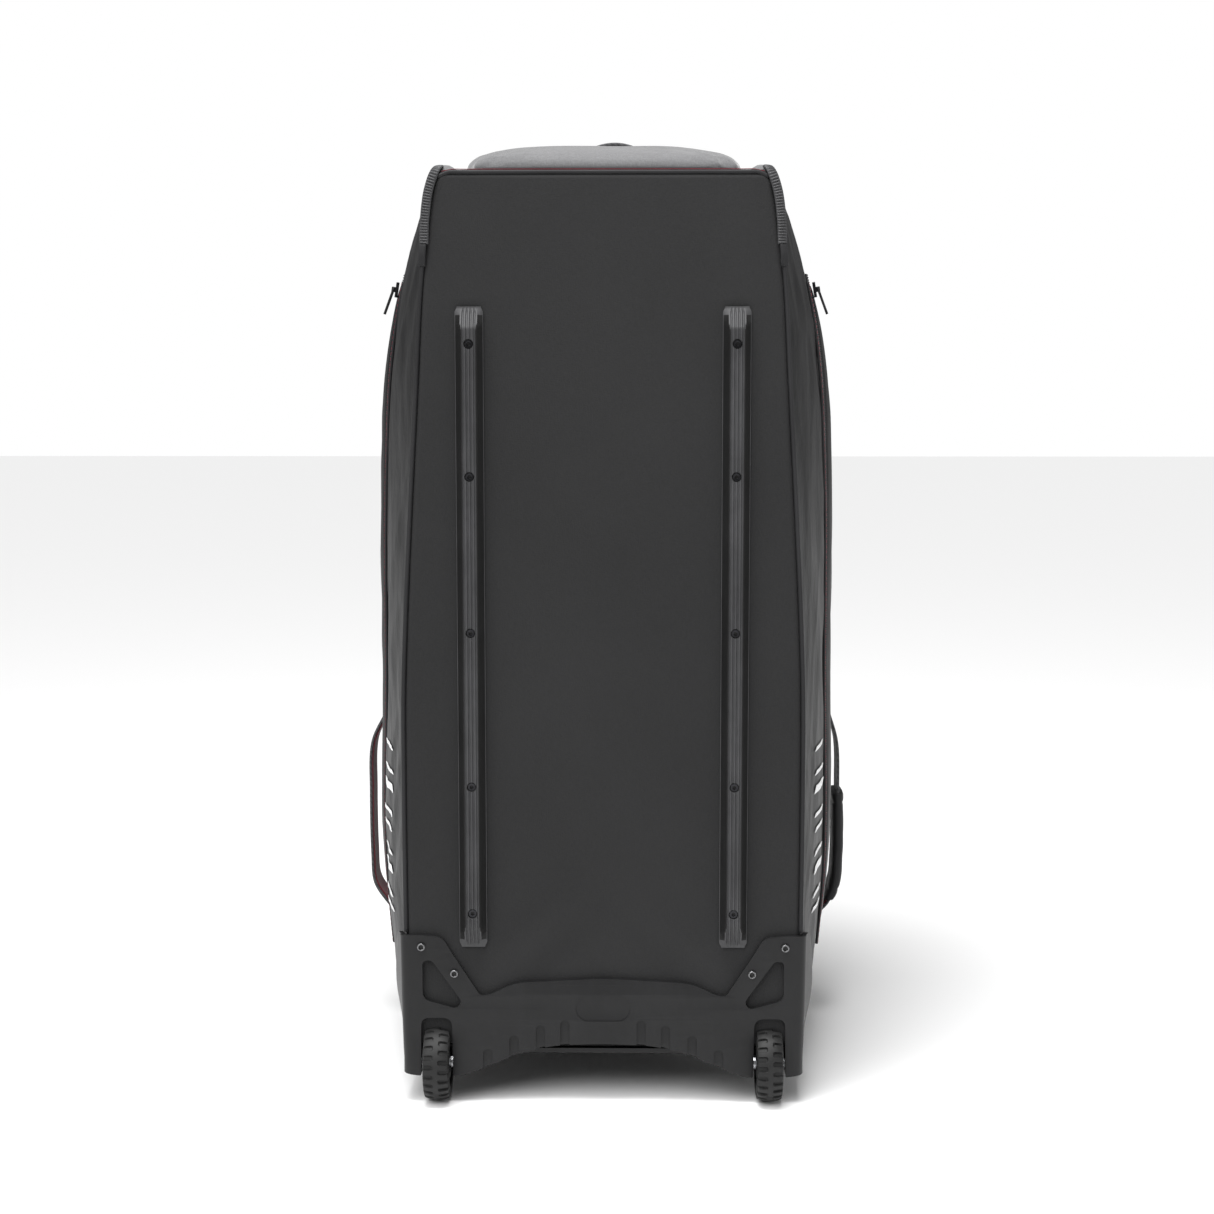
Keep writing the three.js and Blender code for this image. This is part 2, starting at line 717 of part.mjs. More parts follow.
// Grab handle on the top, with its two sewn ends.
const HANDLE = { x: 8, y: 84, half: 50, rise: 46, width: 30, thick: 4 };
{
  const base = dome(HANDLE.x, HANDLE.y) + GAP + 1;
  const point = (u, v, lift) => {
    const angle = Math.PI * (1 - u);
    const out = v3(Math.cos(angle) * HANDLE.rise, 0, Math.sin(angle) * HANDLE.half).normalize();
    return v3(HANDLE.x + HANDLE.half * Math.cos(angle), HANDLE.y, base + HANDLE.rise * Math.sin(angle))
      .add(out.multiplyScalar(lift))
      .add(v3(0, (v - 0.5) * HANDLE.width, 0));
  };
  add(
    "top_handle",
    sheet(
      (u, v) => point(u, v, 0),
      (u, v) => point(u, v, -HANDLE.thick),
      20,
      1,
    ),
    MATERIAL.webbing,
  );
}

// Zip sliders, each with a pull that swings on it. In the slider's own frame +X points away from the zip.
const PULL = { axis: 4.6, length: 26, width: 8, thick: 1.8 };
function slider(name, place, turn, tilt) {
  const seat = new THREE.Group();
  seat.position.copy(place);
  seat.rotation.set(...turn, "ZYX");
  bag.add(seat);
  const body = solid(box([0, -4.5, -7.5], [2.2, 4.5, 7.5]));
  const bail = solid(box([1, -1.5, -2.6], [6.4, 1.5, 2.6]));
  add(name + "_slider", geometryOf(body.add(bail)), MATERIAL.zip, seat);
  const swing = new THREE.Group();
  swing.position.set(PULL.axis, 0, 0);
  swing.rotation.y = tilt;
  seat.add(swing);
  const { thick, width, length } = PULL;
  const tab = solid(box([-thick / 2, -width / 2, -length], [thick / 2, width / 2, 1.8]));
  const slot = solid(box([-3, -1.9, -3.4], [3, 1.9, 4]));
  add(name + "_pull", geometryOf(tab.subtract(slot)), MATERIAL.rubber, swing);
}
const SLIDER_Z = 768;
const SLIDER_RUN = 78; // the straight upper part of a side zip
const lean = Math.atan2(ridgeHalf(SLIDER_Z - SLIDER_RUN) - ridgeHalf(SLIDER_Z), SLIDER_RUN);
for (const [name, side] of SIDES) {
  const place = v3(side * (ridgeHalf(SLIDER_Z) + 4.2), -19, SLIDER_Z);
  slider("side_" + name, place, [0, -lean, side < 0 ? Math.PI : 0], -0.2);
}
slider("flap_left", v3(-147, 100, TOP_Z + 5.7), [0, -Math.PI / 2, Math.PI / 2], 0);
slider("flap_right", v3(147, 100, TOP_Z + 5.7), [0, -Math.PI / 2, Math.PI / 2], 0);
slider("lid", v3(LID_HALF - 3, FRONT_Y + ZIP.thick + 2 * GAP, 150), [0, 0, Math.PI / 2], 0);

export default bag;
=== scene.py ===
import math
from functools import lru_cache

import bmesh
import bpy
import numpy as np
from mathutils import Matrix, Vector, noise


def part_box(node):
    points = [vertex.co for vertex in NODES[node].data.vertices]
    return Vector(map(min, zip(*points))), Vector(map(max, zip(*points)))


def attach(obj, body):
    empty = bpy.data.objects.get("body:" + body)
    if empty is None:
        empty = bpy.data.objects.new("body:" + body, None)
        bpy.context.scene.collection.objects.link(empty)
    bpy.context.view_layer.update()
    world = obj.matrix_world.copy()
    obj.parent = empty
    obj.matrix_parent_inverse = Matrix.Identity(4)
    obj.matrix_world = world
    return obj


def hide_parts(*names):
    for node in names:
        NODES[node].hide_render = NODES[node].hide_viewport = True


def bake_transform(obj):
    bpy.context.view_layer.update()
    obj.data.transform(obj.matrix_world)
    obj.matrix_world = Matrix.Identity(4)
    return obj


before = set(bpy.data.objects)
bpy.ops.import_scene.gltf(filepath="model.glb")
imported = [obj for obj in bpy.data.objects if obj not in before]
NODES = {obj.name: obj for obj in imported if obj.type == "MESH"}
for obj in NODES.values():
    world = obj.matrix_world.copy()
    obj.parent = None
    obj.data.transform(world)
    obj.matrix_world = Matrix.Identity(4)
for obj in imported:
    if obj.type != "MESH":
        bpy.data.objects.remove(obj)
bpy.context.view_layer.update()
MM = 0.001
SIDES = [("left", -1), ("right", 1)]
SIDE_SEEDS = {-1: 2.3, 1: 7.7}
SIDE_RUN = 480


@lru_cache(maxsize=None)
def box_of(node_name):
    """A CAD node's box from the frame, in millimetres."""
    least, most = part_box(node_name)
    return Vector(least) / MM, Vector(most) / MM


def low(node_name):
    return box_of(node_name)[0]


def high(node_name):
    return box_of(node_name)[1]


GAP = 0.4
BACK_Y = low("back_panel").y
FRONT_Y = high("front_header").y
MID_Y = (BACK_Y + FRONT_Y) / 2
FLOOR_Z = high("base_tray").z
TOP_Z = high("back_panel").z + 2
FOLD_Z = high("side_panel_right").z + GAP / 2
LID_HALF = high("lid").x
LID_LOW = low("lid").z
LID_HIGH = high("lid").z
RAIL_X = (low("rail_right").x + high("rail_right").x) / 2
PLATE_Y = low("base_shell").y
WHEEL_X = (low("tyre_right").x + high("tyre_right").x) / 2
WHEEL_Y = (low("tyre_right").y + high("tyre_right").y) / 2
WHEEL_R = high("tyre_right").z / 2
ZIP_WIDE = 8.6

# ---------------------------------------------------------------- materials


def new_material(name):
    material = bpy.data.materials.new(name)
    material.use_nodes = True
    shader = material.node_tree.nodes["Principled BSDF"]
    return material, material.node_tree, shader


def node(tree, kind, **values):
    made = tree.nodes.new(kind)
    for key, value in values.items():
        if key in made.inputs:
            made.inputs[key].default_value = value
        else:
            setattr(made, key, value)
    return made


def stretched(tree, scale):
    """Object coordinates in metres, times a scale along each axis."""
    where = node(tree, "ShaderNodeTexCoord")
    mapping = node(tree, "ShaderNodeMapping")
    mapping.inputs["Scale"].default_value = scale
    tree.links.new(where.outputs["Object"], mapping.inputs["Vector"])
    return mapping.outputs["Vector"]


def noise_at(tree, scale, detail=3.0, rough=0.55):
    made = node(tree, "ShaderNodeTexNoise", Detail=detail, Roughness=rough, Scale=1.0)
    tree.links.new(stretched(tree, scale), made.inputs["Vector"])
    return made.outputs["Fac"]


def wave_at(tree, axis, per_metre, distortion=0.4):
    made = node(tree, "ShaderNodeTexWave", bands_direction=axis, Scale=1.0, Distortion=distortion)
    made.inputs["Detail"].default_value = 1.0
    made.inputs["Detail Scale"].default_value = 3.0
    scale = per_metre * 2 * math.pi / 20
    tree.links.new(stretched(tree, (scale, scale, scale)), made.inputs["Vector"])
    return made.outputs["Fac"]


def mix_value(tree, operation, a, b):
    made = node(tree, "ShaderNodeMath", operation=operation)
    for socket, value in zip(made.inputs, (a, b)):
        if isinstance(value, float):
            socket.default_value = value
        else:
            tree.links.new(value, socket)
    return made.outputs["Value"]


def ramp_colour(tree, factor, dark, light, start=0.3, end=0.7):
    made = node(tree, "ShaderNodeValToRGB")
    made.color_ramp.elements[0].position = start
    made.color_ramp.elements[1].position = end
    made.color_ramp.elements[0].color = (*dark, 1)
    made.color_ramp.elements[1].color = (*light, 1)
    tree.links.new(factor, made.inputs["Fac"])
    return made.outputs["Color"]


def bump(tree, shader, height, strength, distance):
    made = node(tree, "ShaderNodeBump", Strength=strength, Distance=distance)
    tree.links.new(height, made.inputs["Height"])
    tree.links.new(made.outputs["Normal"], shader.inputs["Normal"])


def rough_between(tree, shader, factor, smooth, rough):
    made = node(tree, "ShaderNodeMapRange")
    made.inputs["To Min"].default_value = smooth
    made.inputs["To Max"].default_value = rough
    tree.links.new(factor, made.inputs["Value"])
    tree.links.new(made.outputs["Result"], shader.inputs["Roughness"])


def shade(colour, share):
    return tuple(c * share for c in colour)


def woven(name, colour, warp=(900, 900, 260), sheen=0.25, strength=0.5, rough=0.82):
    """Coated woven cloth: threads along Z, mottled, matte."""
    material, tree, shader = new_material(name)
    threads = noise_at(tree, warp, 2.0)
    weft = noise_at(tree, (300, 300, 1100), 2.0)
    cloth = mix_value(tree, "ADD", threads, mix_value(tree, "MULTIPLY", weft, 0.6))
    mottle = noise_at(tree, (7, 7, 5), 3.0)
    both = mix_value(
        tree, "ADD", mix_value(tree, "MULTIPLY", cloth, 0.45), mix_value(tree, "MULTIPLY", mottle, 0.35)
    )
    tree.links.new(
        ramp_colour(tree, both, shade(colour, 0.72), shade(colour, 1.28), 0.35, 0.72),
        shader.inputs["Base Color"],
    )
    rough_between(tree, shader, threads, rough - 0.1, rough + 0.08)
    bump(tree, shader, cloth, strength, 0.0004)
    shader.inputs["Sheen Weight"].default_value = sheen
    shader.inputs["Sheen Roughness"].default_value = 0.45
    shader.inputs["Specular IOR Level"].default_value = 0.3
    return material


def coated(name, colour, rough=0.42, wrinkle=0.35):
    """Smooth coated tarpaulin: fine grain, faint creases, a soft gloss."""
    material, tree, shader = new_material(name)
    creases = noise_at(tree, (26, 26, 11), 5.0, 0.6)
    grain = noise_at(tree, (1500, 1500, 1500), 1.0)
    tone = noise_at(tree, (12, 12, 6), 3.0)
    tree.links.new(
        ramp_colour(tree, tone, shade(colour, 0.8), shade(colour, 1.25)),
        shader.inputs["Base Color"],
    )
    rough_between(tree, shader, creases, rough - 0.08, rough + 0.16)
    height = mix_value(tree, "ADD", creases, mix_value(tree, "MULTIPLY", grain, 0.03))
    bump(tree, shader, height, wrinkle, 0.004)
    shader.inputs["Specular IOR Level"].default_value = 0.16
    return material


def moulded(name, colour, rough=0.5, grain=1300, scuffs=0.25):
    """Moulded plastic or rubber with a fine grain and light scuffs."""
    material, tree, shader = new_material(name)
    fine = noise_at(tree, (grain, grain, grain), 2.0)
    worn = noise_at(tree, (30, 30, 18), 4.0, 0.7)
    tree.links.new(
        ramp_colour(tree, worn, shade(colour, 1 - scuffs), shade(colour, 1 + scuffs)),
        shader.inputs["Base Color"],
    )
    rough_between(tree, shader, worn, rough - 0.07, rough + 0.1)
    bump(tree, shader, fine, 0.22, 0.0003)
    shader.inputs["Specular IOR Level"].default_value = 0.28
    return material


def metal(name, colour, rough=0.3):
    material, tree, shader = new_material(name)
    brushed = noise_at(tree, (400, 400, 2600), 2.0)
    tree.links.new(
        ramp_colour(tree, brushed, shade(colour, 0.85), shade(colour, 1.1)),
        shader.inputs["Base Color"],
    )
    rough_between(tree, shader, brushed, rough - 0.06, rough + 0.1)
    shader.inputs["Metallic"].default_value = 1.0
    return material


def webbing(name, colour):
    """Ribbed webbing with a twill lean."""
    material, tree, shader = new_material(name)
    ribs = wave_at(tree, "DIAGONAL", 330.0, 0.6)
    fine = noise_at(tree, (900, 900, 500), 2.0)
    both = mix_value(
        tree, "ADD", mix_value(tree, "MULTIPLY", ribs, 0.6), mix_value(tree, "MULTIPLY", fine, 0.5)
    )
    tree.links.new(
        ramp_colour(tree, both, shade(colour, 0.65), shade(colour, 1.35), 0.3, 0.8),
        shader.inputs["Base Color"],
    )
    rough_between(tree, shader, fine, 0.68, 0.9)
    bump(tree, shader, both, 0.6, 0.0005)
    shader.inputs["Sheen Weight"].default_value = 0.3
    return material


def print_ink(name):
    material, tree, shader = new_material(name)
    wear = noise_at(tree, (160, 160, 160), 4.0)
    tree.links.new(
        ramp_colour(tree, wear, (0.62, 0.62, 0.63), (0.86, 0.86, 0.86), 0.25, 0.5),
        shader.inputs["Base Color"],
    )
    rough_between(tree, shader, wear, 0.35, 0.55)
    bump(tree, shader, wear, 0.1, 0.0002)
    return material


CLOTH = woven("back_weave", (0.0145, 0.0145, 0.015), sheen=0.12, strength=0.7)
# The top's cloth is the back's dark weave painted about nine times paler: painted light falling from above.
TOP_CLOTH_PAINTED_LIGHT = woven("top_weave_painted_light", (0.13, 0.13, 0.133), sheen=0.5, strength=0.6)
LINING = woven("lining_weave", (0.07, 0.07, 0.075), sheen=0.1)
TARP = coated("tarpaulin_coat", (0.009, 0.009, 0.0095), 0.4, 0.5)
TARP_SIDE = coated("tarpaulin_pocket", (0.012, 0.012, 0.0125), 0.42)
BASE = moulded("base_plastic", (0.010, 0.010, 0.0105), 0.4)
RAIL = moulded("rail_plastic_grain", (0.05, 0.05, 0.052), 0.42, 900)
# A much darker copy of the rail plastic for the flanks: painted shade.
RAIL_FLANK_PAINTED_SHADE = moulded("rail_flank_painted_shade", (0.006, 0.006, 0.006), 0.5, 900)
BOARD = moulded("board_plastic", (0.03, 0.03, 0.03), 0.6)
RUBBER = moulded("tyre_compound", (0.013, 0.013, 0.013), 0.5, 900, 0.35)
HUB = moulded("hub_plastic", (0.05, 0.05, 0.05), 0.45)
PULL = moulded("pull_moulding", (0.02, 0.02, 0.02), 0.4)
COIL = moulded("zip_coil", (0.05, 0.05, 0.052), 0.45)
TAPE = woven("zip_tape", (0.014, 0.014, 0.015), (1500, 1500, 1500), 0.1, 0.4)
PIPING = coated("piping_cover", (0.022, 0.022, 0.023), 0.5, 0.1)
STEEL = metal("zinc_steel", (0.62, 0.63, 0.65), 0.28)
DARK_STEEL = metal("dark_steel", (0.2, 0.2, 0.205), 0.3)
BLACK_STEEL = metal("black_oxide", (0.035, 0.035, 0.038), 0.22)
WEB = webbing("haul_webbing", (0.05, 0.05, 0.053))
GRIP = coated("grip_cover", (0.022, 0.022, 0.023), 0.5, 0.25)
RED = woven("red_lining", (0.12, 0.008, 0.016), (900, 900, 900), 0.2)
RED_THREAD = woven("red_thread", (0.22, 0.02, 0.035), (900, 900, 900), 0.2)
INK = print_ink("pale_print")

# ---------------------------------------------------------------- mesh tools


def mesh_object(name, points, faces, material):
    """A new mesh from points in millimetres."""
    mesh = bpy.data.meshes.new(name)
    mesh.from_pydata([tuple(c * MM for c in p) for p in points], [], faces)
    mesh.validate()
    mesh.update()
    made = bpy.data.objects.new(name, mesh)
    bpy.context.scene.collection.objects.link(made)
    mesh.materials.append(material)
    mesh.shade_smooth()
    return made


def grid_faces(nu, nv, closed_u=False, flip=False):
    faces = []
    wide = nu if closed_u else nu + 1
    for j in range(nv):
        for i in range(nu):
            a, b = j * wide + i, j * wide + (i + 1) % wide
            face = (a, b, b + wide, a + wide)
            faces.append(face[::-1] if flip else face)
    return faces


def sleeve_faces(around, rows):
    """Rings joined into a closed sleeve, with both ends capped."""
    faces = grid_faces(around, rows, closed_u=True)
    faces.append(tuple(range(around)))
    faces.append(tuple(rows * around + j for j in range(around)))
    return faces


def surface(name, spot, nu, nv, material, closed_u=False, flip=False):
    """A grid over spot(u, v), u and v from 0 to 1."""
    count = nu if closed_u else nu + 1
    points = [spot(i / nu, j / nv) for j in range(nv + 1) for i in range(count)]
    return mesh_object(name, points, grid_faces(nu, nv, closed_u, flip), material)


def modifier(piece, kind, **values):
    made = piece.modifiers.new(kind.lower(), kind)
    for key, value in values.items():
        setattr(made, key, value)
    return made


def applied(piece):
    """The piece with its modifiers made part of its mesh."""
    graph = bpy.context.evaluated_depsgraph_get()
    mesh = bpy.data.meshes.new_from_object(piece.evaluated_get(graph))
    piece.modifiers.clear()
    piece.data = mesh
    return piece


def outward(piece):
    """Makes a closed mesh's faces point out."""
    shell = bmesh.new()
    shell.from_mesh(piece.data)
    bmesh.ops.recalc_face_normals(shell, faces=shell.faces)
    shell.to_mesh(piece.data)
    shell.free()
    return piece


def sharp_edges(piece, degrees=35):
    """Smooth shading, with edges over an angle left crisp."""
    piece.data.shade_smooth()
    piece.data.set_sharp_from_angle(angle=math.radians(degrees))
    return piece


def rounded(piece, width, segments=2, degrees=30):
    """Rounds the edges of a hard piece, in millimetres."""
    modifier(
        piece, "BEVEL", width=width * MM, segments=segments, limit_method="ANGLE",
        angle_limit=math.radians(degrees), harden_normals=False,
    )
    return sharp_edges(piece, 45)


def place(piece, body, slot_name, *nodes):
    """Rides a body and stands for CAD nodes; the slot name is not used."""
    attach(piece, body)
    if nodes:
        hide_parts(*nodes)
    return piece


def clamp(value, least=0.0, most=1.0):
    return max(least, min(most, value))


def smooth(t):
    t = clamp(t)
    return t * t * (3 - 2 * t)


def lerp(a, b, t):
    return a + (b - a) * t


def curve_through(points, closed=False):
    """A smooth path through points: a function of t from 0 to 1, and its length."""
    pts = [Vector(p) for p in points]
    fine = []
    spans = len(pts) if closed else len(pts) - 1
    steps = 24
    for i in range(spans):
        p1, p2 = pts[i], pts[(i + 1) % len(pts)]
        p0 = pts[i - 1] if closed or i > 0 else p1 * 2 - p2
        after = (i + 2) % len(pts)
        p3 = pts[after] if closed or i + 2 < len(pts) else p2 * 2 - p1
        gaps = [max((b - a).length ** 0.5, 1e-4) for a, b in ((p0, p1), (p1, p2), (p2, p3))]
        m1 = ((p1 - p0) / gaps[0] - (p2 - p0) / (gaps[0] + gaps[1]) + (p2 - p1) / gaps[1]) * gaps[1]
        m2 = ((p2 - p1) / gaps[1] - (p3 - p1) / (gaps[1] + gaps[2]) + (p3 - p2) / gaps[2]) * gaps[1]
        for k in range(steps):
            t = k / steps
            h = (2 * t**3 - 3 * t**2 + 1, t**3 - 2 * t**2 + t, 3 * t**2 - 2 * t**3, t**3 - t**2)
            fine.append(p1 * h[0] + m1 * h[1] + p2 * h[2] + m2 * h[3])
    fine.append(pts[0].copy() if closed else pts[-1].copy())
    line = np.array([tuple(p) for p in fine])
    run = np.concatenate([[0], np.cumsum(np.linalg.norm(np.diff(line, axis=0), axis=1))])

    def at(t):
        wanted = clamp(t) * run[-1]
        return Vector([float(np.interp(wanted, run, line[:, k])) for k in range(3)])

    return at, float(run[-1])


def direction(at, t, step=0.004):
    return (at(t + step) - at(t - step)).normalized()


def tube(name, points, radius, material, closed=False, sides=8, pitch=3.0):
    """A round cord through points."""
    at, length = curve_through(points, closed)
    count = max(8, int(length / pitch))
    rings = []
    for j in range(count + (0 if closed else 1)):
        t = j / count
        here = at(t)
        along = direction(at, t)
        first = along.cross(Vector((0.13, -1, 0.21))).normalized()
        second = along.cross(first)
        for i in range(sides):
            a = 2 * math.pi * i / sides
            rings.append(here + (first * math.cos(a) + second * math.sin(a)) * radius)
    faces = []
    for j in range(count):
        k = (j + 1) % count if closed else j + 1
        for i in range(sides):
            n = (i + 1) % sides
            faces.append((j * sides + i, j * sides + n, k * sides + n, k * sides + i))
    if not closed:
        faces.append(tuple(range(sides))[::-1])
        faces.append(tuple(count * sides + i for i in range(sides)))
    return outward(mesh_object(name, rings, faces, material))


def joined(name, pieces):
    """Several new pieces as one."""
    for other in bpy.context.selected_objects:
        other.select_set(False)
    for piece in pieces:
        piece.select_set(True)
    bpy.context.view_layer.objects.active = pieces[0]
    bpy.ops.object.join()
    pieces[0].name = name
    pieces[0].data.name = name
    return pieces[0]


# ---------------------------------------------------------------- the bag's surfaces


def profile(points):
    """A smooth curve through (height, half width) points."""
    heights = np.array([p[0] for p in points], float)
    widths = np.array([p[1] for p in points], float)
    slopes = np.gradient(widths, heights)

    def at(z):
        z = clamp(z, heights[0], heights[-1])
        i = min(int(np.searchsorted(heights, z, side="right")) - 1, len(heights) - 2)
        span = heights[i + 1] - heights[i]
        t = (z - heights[i]) / span
        return float(
            (2 * t**3 - 3 * t**2 + 1) * widths[i]
            + (t**3 - 2 * t**2 + t) * span * slopes[i]
            + (3 * t**2 - 2 * t**3) * widths[i + 1]
            + (t**3 - t**2) * span * slopes[i + 1]
        )

    return at


back_half = profile(
    [(40, 184), (310, 185.5), (385, 185), (534, 178.5), (680, 170), (753, 166), (824, 159), (868, 152)]
)
ridge_half = profile(
    [(40, 188), (60, 199), (95, 211), (140, 217), (400, 219.5), (600, 218), (690, 213), (735, 207),
     (775, 199), (822, 186), (842, 178), (857, 166), (868, 151)]
)


def side_curve(z):
    """The side's line in plan, from the back corner to the front lip."""
    back, ridge = back_half(z), ridge_half(z)
    return curve_through(
        [(back, BACK_Y + 2.0, z), ((back + 2 * ridge) / 3, MID_Y - 95.5, z), (ridge, MID_Y - 12.5, z),
         (ridge - 2, MID_Y + 89.5, z), (back + 3, MID_Y + 163.5, z), (LID_HALF + 3, FRONT_Y, z)]
    )


SIDE_ROWS = 170
_side_cache = {}


def side_row(z):
    key = round(z, 2)
    if key not in _side_cache:
        _side_cache[key] = side_curve(key)
    return _side_cache[key]


def side_point(s, z, offset=0.0):
    """A point of the right side at a share s of its length from the back corner."""
    at, _ = side_row(z)
    here = at(s)
    along = direction(at, s)
    return here + Vector((along.y, -along.x, 0)) * offset


def side_share(y, z):
    """The share s at which the side's line reaches a depth y."""
    at, _ = side_row(z)
    least, most = 0.0, 1.0
    for _ in range(18):
        middle = (least + most) / 2
        if at(middle).y < y:
            least = middle
        else:
            most = middle
    return (least + most) / 2


def fold(x, z, lean, pitch, seed):
    """Long soft creases that lean: about -1 to 1."""
    a = (x * math.cos(lean) + z * math.sin(lean)) / pitch
    b = (-x * math.sin(lean) + z * math.cos(lean)) / (pitch * 5)
    wave = noise.noise(Vector((a, b, seed)))
    sharp = 1 - abs(wave) * 2.4
    return sharp * 0.7 + noise.noise(Vector((a * 0.45, b * 0.8, seed + 9))) * 0.9


def mirrored(point, side):
    return Vector((point[0] * side, point[1], point[2]))


# ---------------------------------------------------------------- back panel


def panel_half(z):
    """Half width of the back panel, with its top corners rounded."""
    corner = 11.0
    drop = z - (TOP_Z - 2 - corner)
    inset = corner - math.sqrt(max(0.0, corner**2 - max(0.0, drop) ** 2))
    return back_half(z) - 1.2 - inset


def panel_depth(x, z):
    """How far the panel's cloth stands back from its outer plane."""
    edge = min(panel_half(z) - abs(x), TOP_Z - 2 - z)
    round_off = 4.5
    t = clamp(edge / round_off)
    back = 3.2 * (1 - math.sqrt(max(0.0, 1 - (1 - t) ** 2)))
    swell = 0.5 * noise.noise(Vector((x / 90, z / 150, 3.1)))
    swell += 0.25 * noise.noise(Vector((x / 35, z / 60, 8.2)))
    for side in (-1, 1):
        near = math.exp(-(((x - side * 70) / 55) ** 2) - ((z - 150) / 42) ** 2)
        back += 2.2 * near * (0.5 + 0.5 * math.sin((z - 150 + side * x * 0.9) / 11))
        by_rail = math.exp(-(((abs(x) - RAIL_X) / 16) ** 2))
        back += 0.35 * by_rail if low("rail_right").z < z < high("rail_right").z else 0
    return back + 0.7 + swell * t * 0.8


def back_panel():
    rows = np.concatenate(
        [np.linspace(FLOOR_Z + 6, TOP_Z - 16, 190), TOP_Z - 2 - 14 * (1 - np.linspace(0, 1, 22)[1:]) ** 1.5]
    )
    across = np.concatenate(
        [[-1, -0.994, -0.985, -0.975], np.linspace(-0.965, 0.965, 96), [0.975, 0.985, 0.994, 1]]
    )
    points = [(float(u) * panel_half(float(z)), 0, float(z)) for z in rows for u in across]
    points = [(x, BACK_Y + panel_depth(x, z), z) for x, _, z in points]
    cloth = mesh_object(
        "back_panel_cloth", points, grid_faces(len(across) - 1, len(rows) - 1), CLOTH
    )
    modifier(cloth, "SOLIDIFY", thickness=1.6 * MM, offset=-1)
    return place(cloth, "bag", "woven_fabric", "back_panel")


# ---------------------------------------------------------------- sides


def crease(s, z, seed):
    """Wrinkles of the soft side, none at its sewn edges."""
    held = smooth(s / 0.06) * smooth((1 - s) / 0.08) * smooth((z - FLOOR_Z) / 30) * smooth((TOP_Z - z) / 40)
    length = s * SIDE_RUN
    long_folds = fold(length, z, 0.5, 46, seed) + 0.6 * fold(length, z, -0.35, 34, seed + 4)
    low_belly = 1 + 0.7 * math.exp(-(((z - 190) / 120) ** 2)) + 0.6 * math.exp(-(((z - 740) / 70) ** 2))
    return held * (1.15 * long_folds * low_belly - 1.0)


def side_shell(name, side):
    rows = np.linspace(FLOOR_Z + 1, TOP_Z - 3, SIDE_ROWS + 1)
    seed = SIDE_SEEDS[side]
    columns = 96
    points = []
    for z in rows:
        for i in range(columns + 1):
            s = i / columns
            points.append(mirrored(side_point(s, float(z), crease(s, float(z), seed)), side))
    shell = mesh_object(
        "side_cloth_" + name, points, grid_faces(columns, SIDE_ROWS, flip=side < 0), TARP
    )
    shell.data.materials.append(LINING)
    modifier(shell, "SOLIDIFY", thickness=2.2 * MM, offset=-1, material_offset=1, material_offset_rim=0)
    shell = applied(shell)
    shell.data.shade_smooth()
    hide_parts("side_panel_" + name, "side_flap_" + name)
    x = ridge_half(FOLD_Z) * side
    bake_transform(shell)
    return shell


def back_piping(name, side):
    heights = [164, 240, 310, 385, 460, 534, 608, 680, 753, FOLD_Z - 2]
    line = [(side * (back_half(z) + 0.9), BACK_Y + 1.6, z) for z in heights]
    cord = tube("back_piping_" + name, line, 2.0, PIPING)
    return place(cord, "bag", "tarpaulin")


def side_seam(name, side):
    """A welt up the side just behind the zip, with red stitches on it."""
    depth = MID_Y - 52

    def at(z, offset):
        return mirrored(side_point(side_share(depth, z), z, offset), side)

    heights = np.linspace(118, FOLD_Z - 14, 26)
    welt = tube("side_welt_" + name, [at(float(z), 0.7) for z in heights], 1.5, PIPING, sides=7)
    place(welt, "bag", "tarpaulin")
    threads = []
    path, length = curve_through([at(float(z), 1.9) for z in heights])
    count = int(length / 5.2)
    for i in range(count):
        middle = (i + 0.5) / count
        reach = 1.5 / length
        ends = [path(middle - reach), path(middle + reach)]
        threads.append(tube(f"stitch_{name}_{i}", ends, 0.42, RED_THREAD, sides=5, pitch=3))
    return place(joined("side_stitches_" + name, threads), "bag", "tarpaulin")


# ---------------------------------------------------------------- zips


def zip_band(name, path, length, outward_at, wide, lift, material, pitch=2.5, height=1.9):
    """A ribbed coil band on a flat tape. outward_at(t) is the way the band faces."""
    ribs = max(1, int(length / pitch))
    per_rib = 5
    columns = [-1.0, -0.86, -0.7, -0.35, 0, 0.35, 0.7, 0.86, 1.0]
    crown = [0.0, 0.62, 0.9, 1.0, 1.03, 1.0, 0.9, 0.62, 0.0]
    rows = ribs * per_rib
    points = []
    for j in range(rows + 1):
        t = j / rows
        here, along, out = path(t), direction(path, t, 0.002), outward_at(t)
        across = along.cross(out).normalized()
        rib = 0.5 - 0.5 * math.cos(2 * math.pi * j / per_rib)
        for c, h in zip(columns, crown):
            rise = lift + height * h * (0.35 + 0.65 * rib)
            points.append(here + across * (c * wide / 2) + out * rise)
    count = len(columns)
    faces = grid_faces(count - 1, rows)
    base = len(points)
    for j in range(rows + 1):
        t = j / rows
        here, along, out = path(t), direction(path, t, 0.002), outward_at(t)
        across = along.cross(out).normalized()
        points.append(here - across * wide / 2 + out * (lift - 0.3))
        points.append(here + across * wide / 2 + out * (lift - 0.3))
    for j in range(rows):
        a, b = base + 2 * j, base + 2 * j + 1
        faces.append((a, b, b + 2, a + 2))
        faces.append((j * count, a, a + 2, (j + 1) * count))
        last = j * count + count - 1
        faces.append((last, last + count, b + 2, b))
    faces.append((*range(count), base + 1, base))
    end = rows * count
    faces.append((*range(end, end + count), base + 2 * rows + 1, base + 2 * rows))
    return outward(mesh_object(name, points, faces, material))


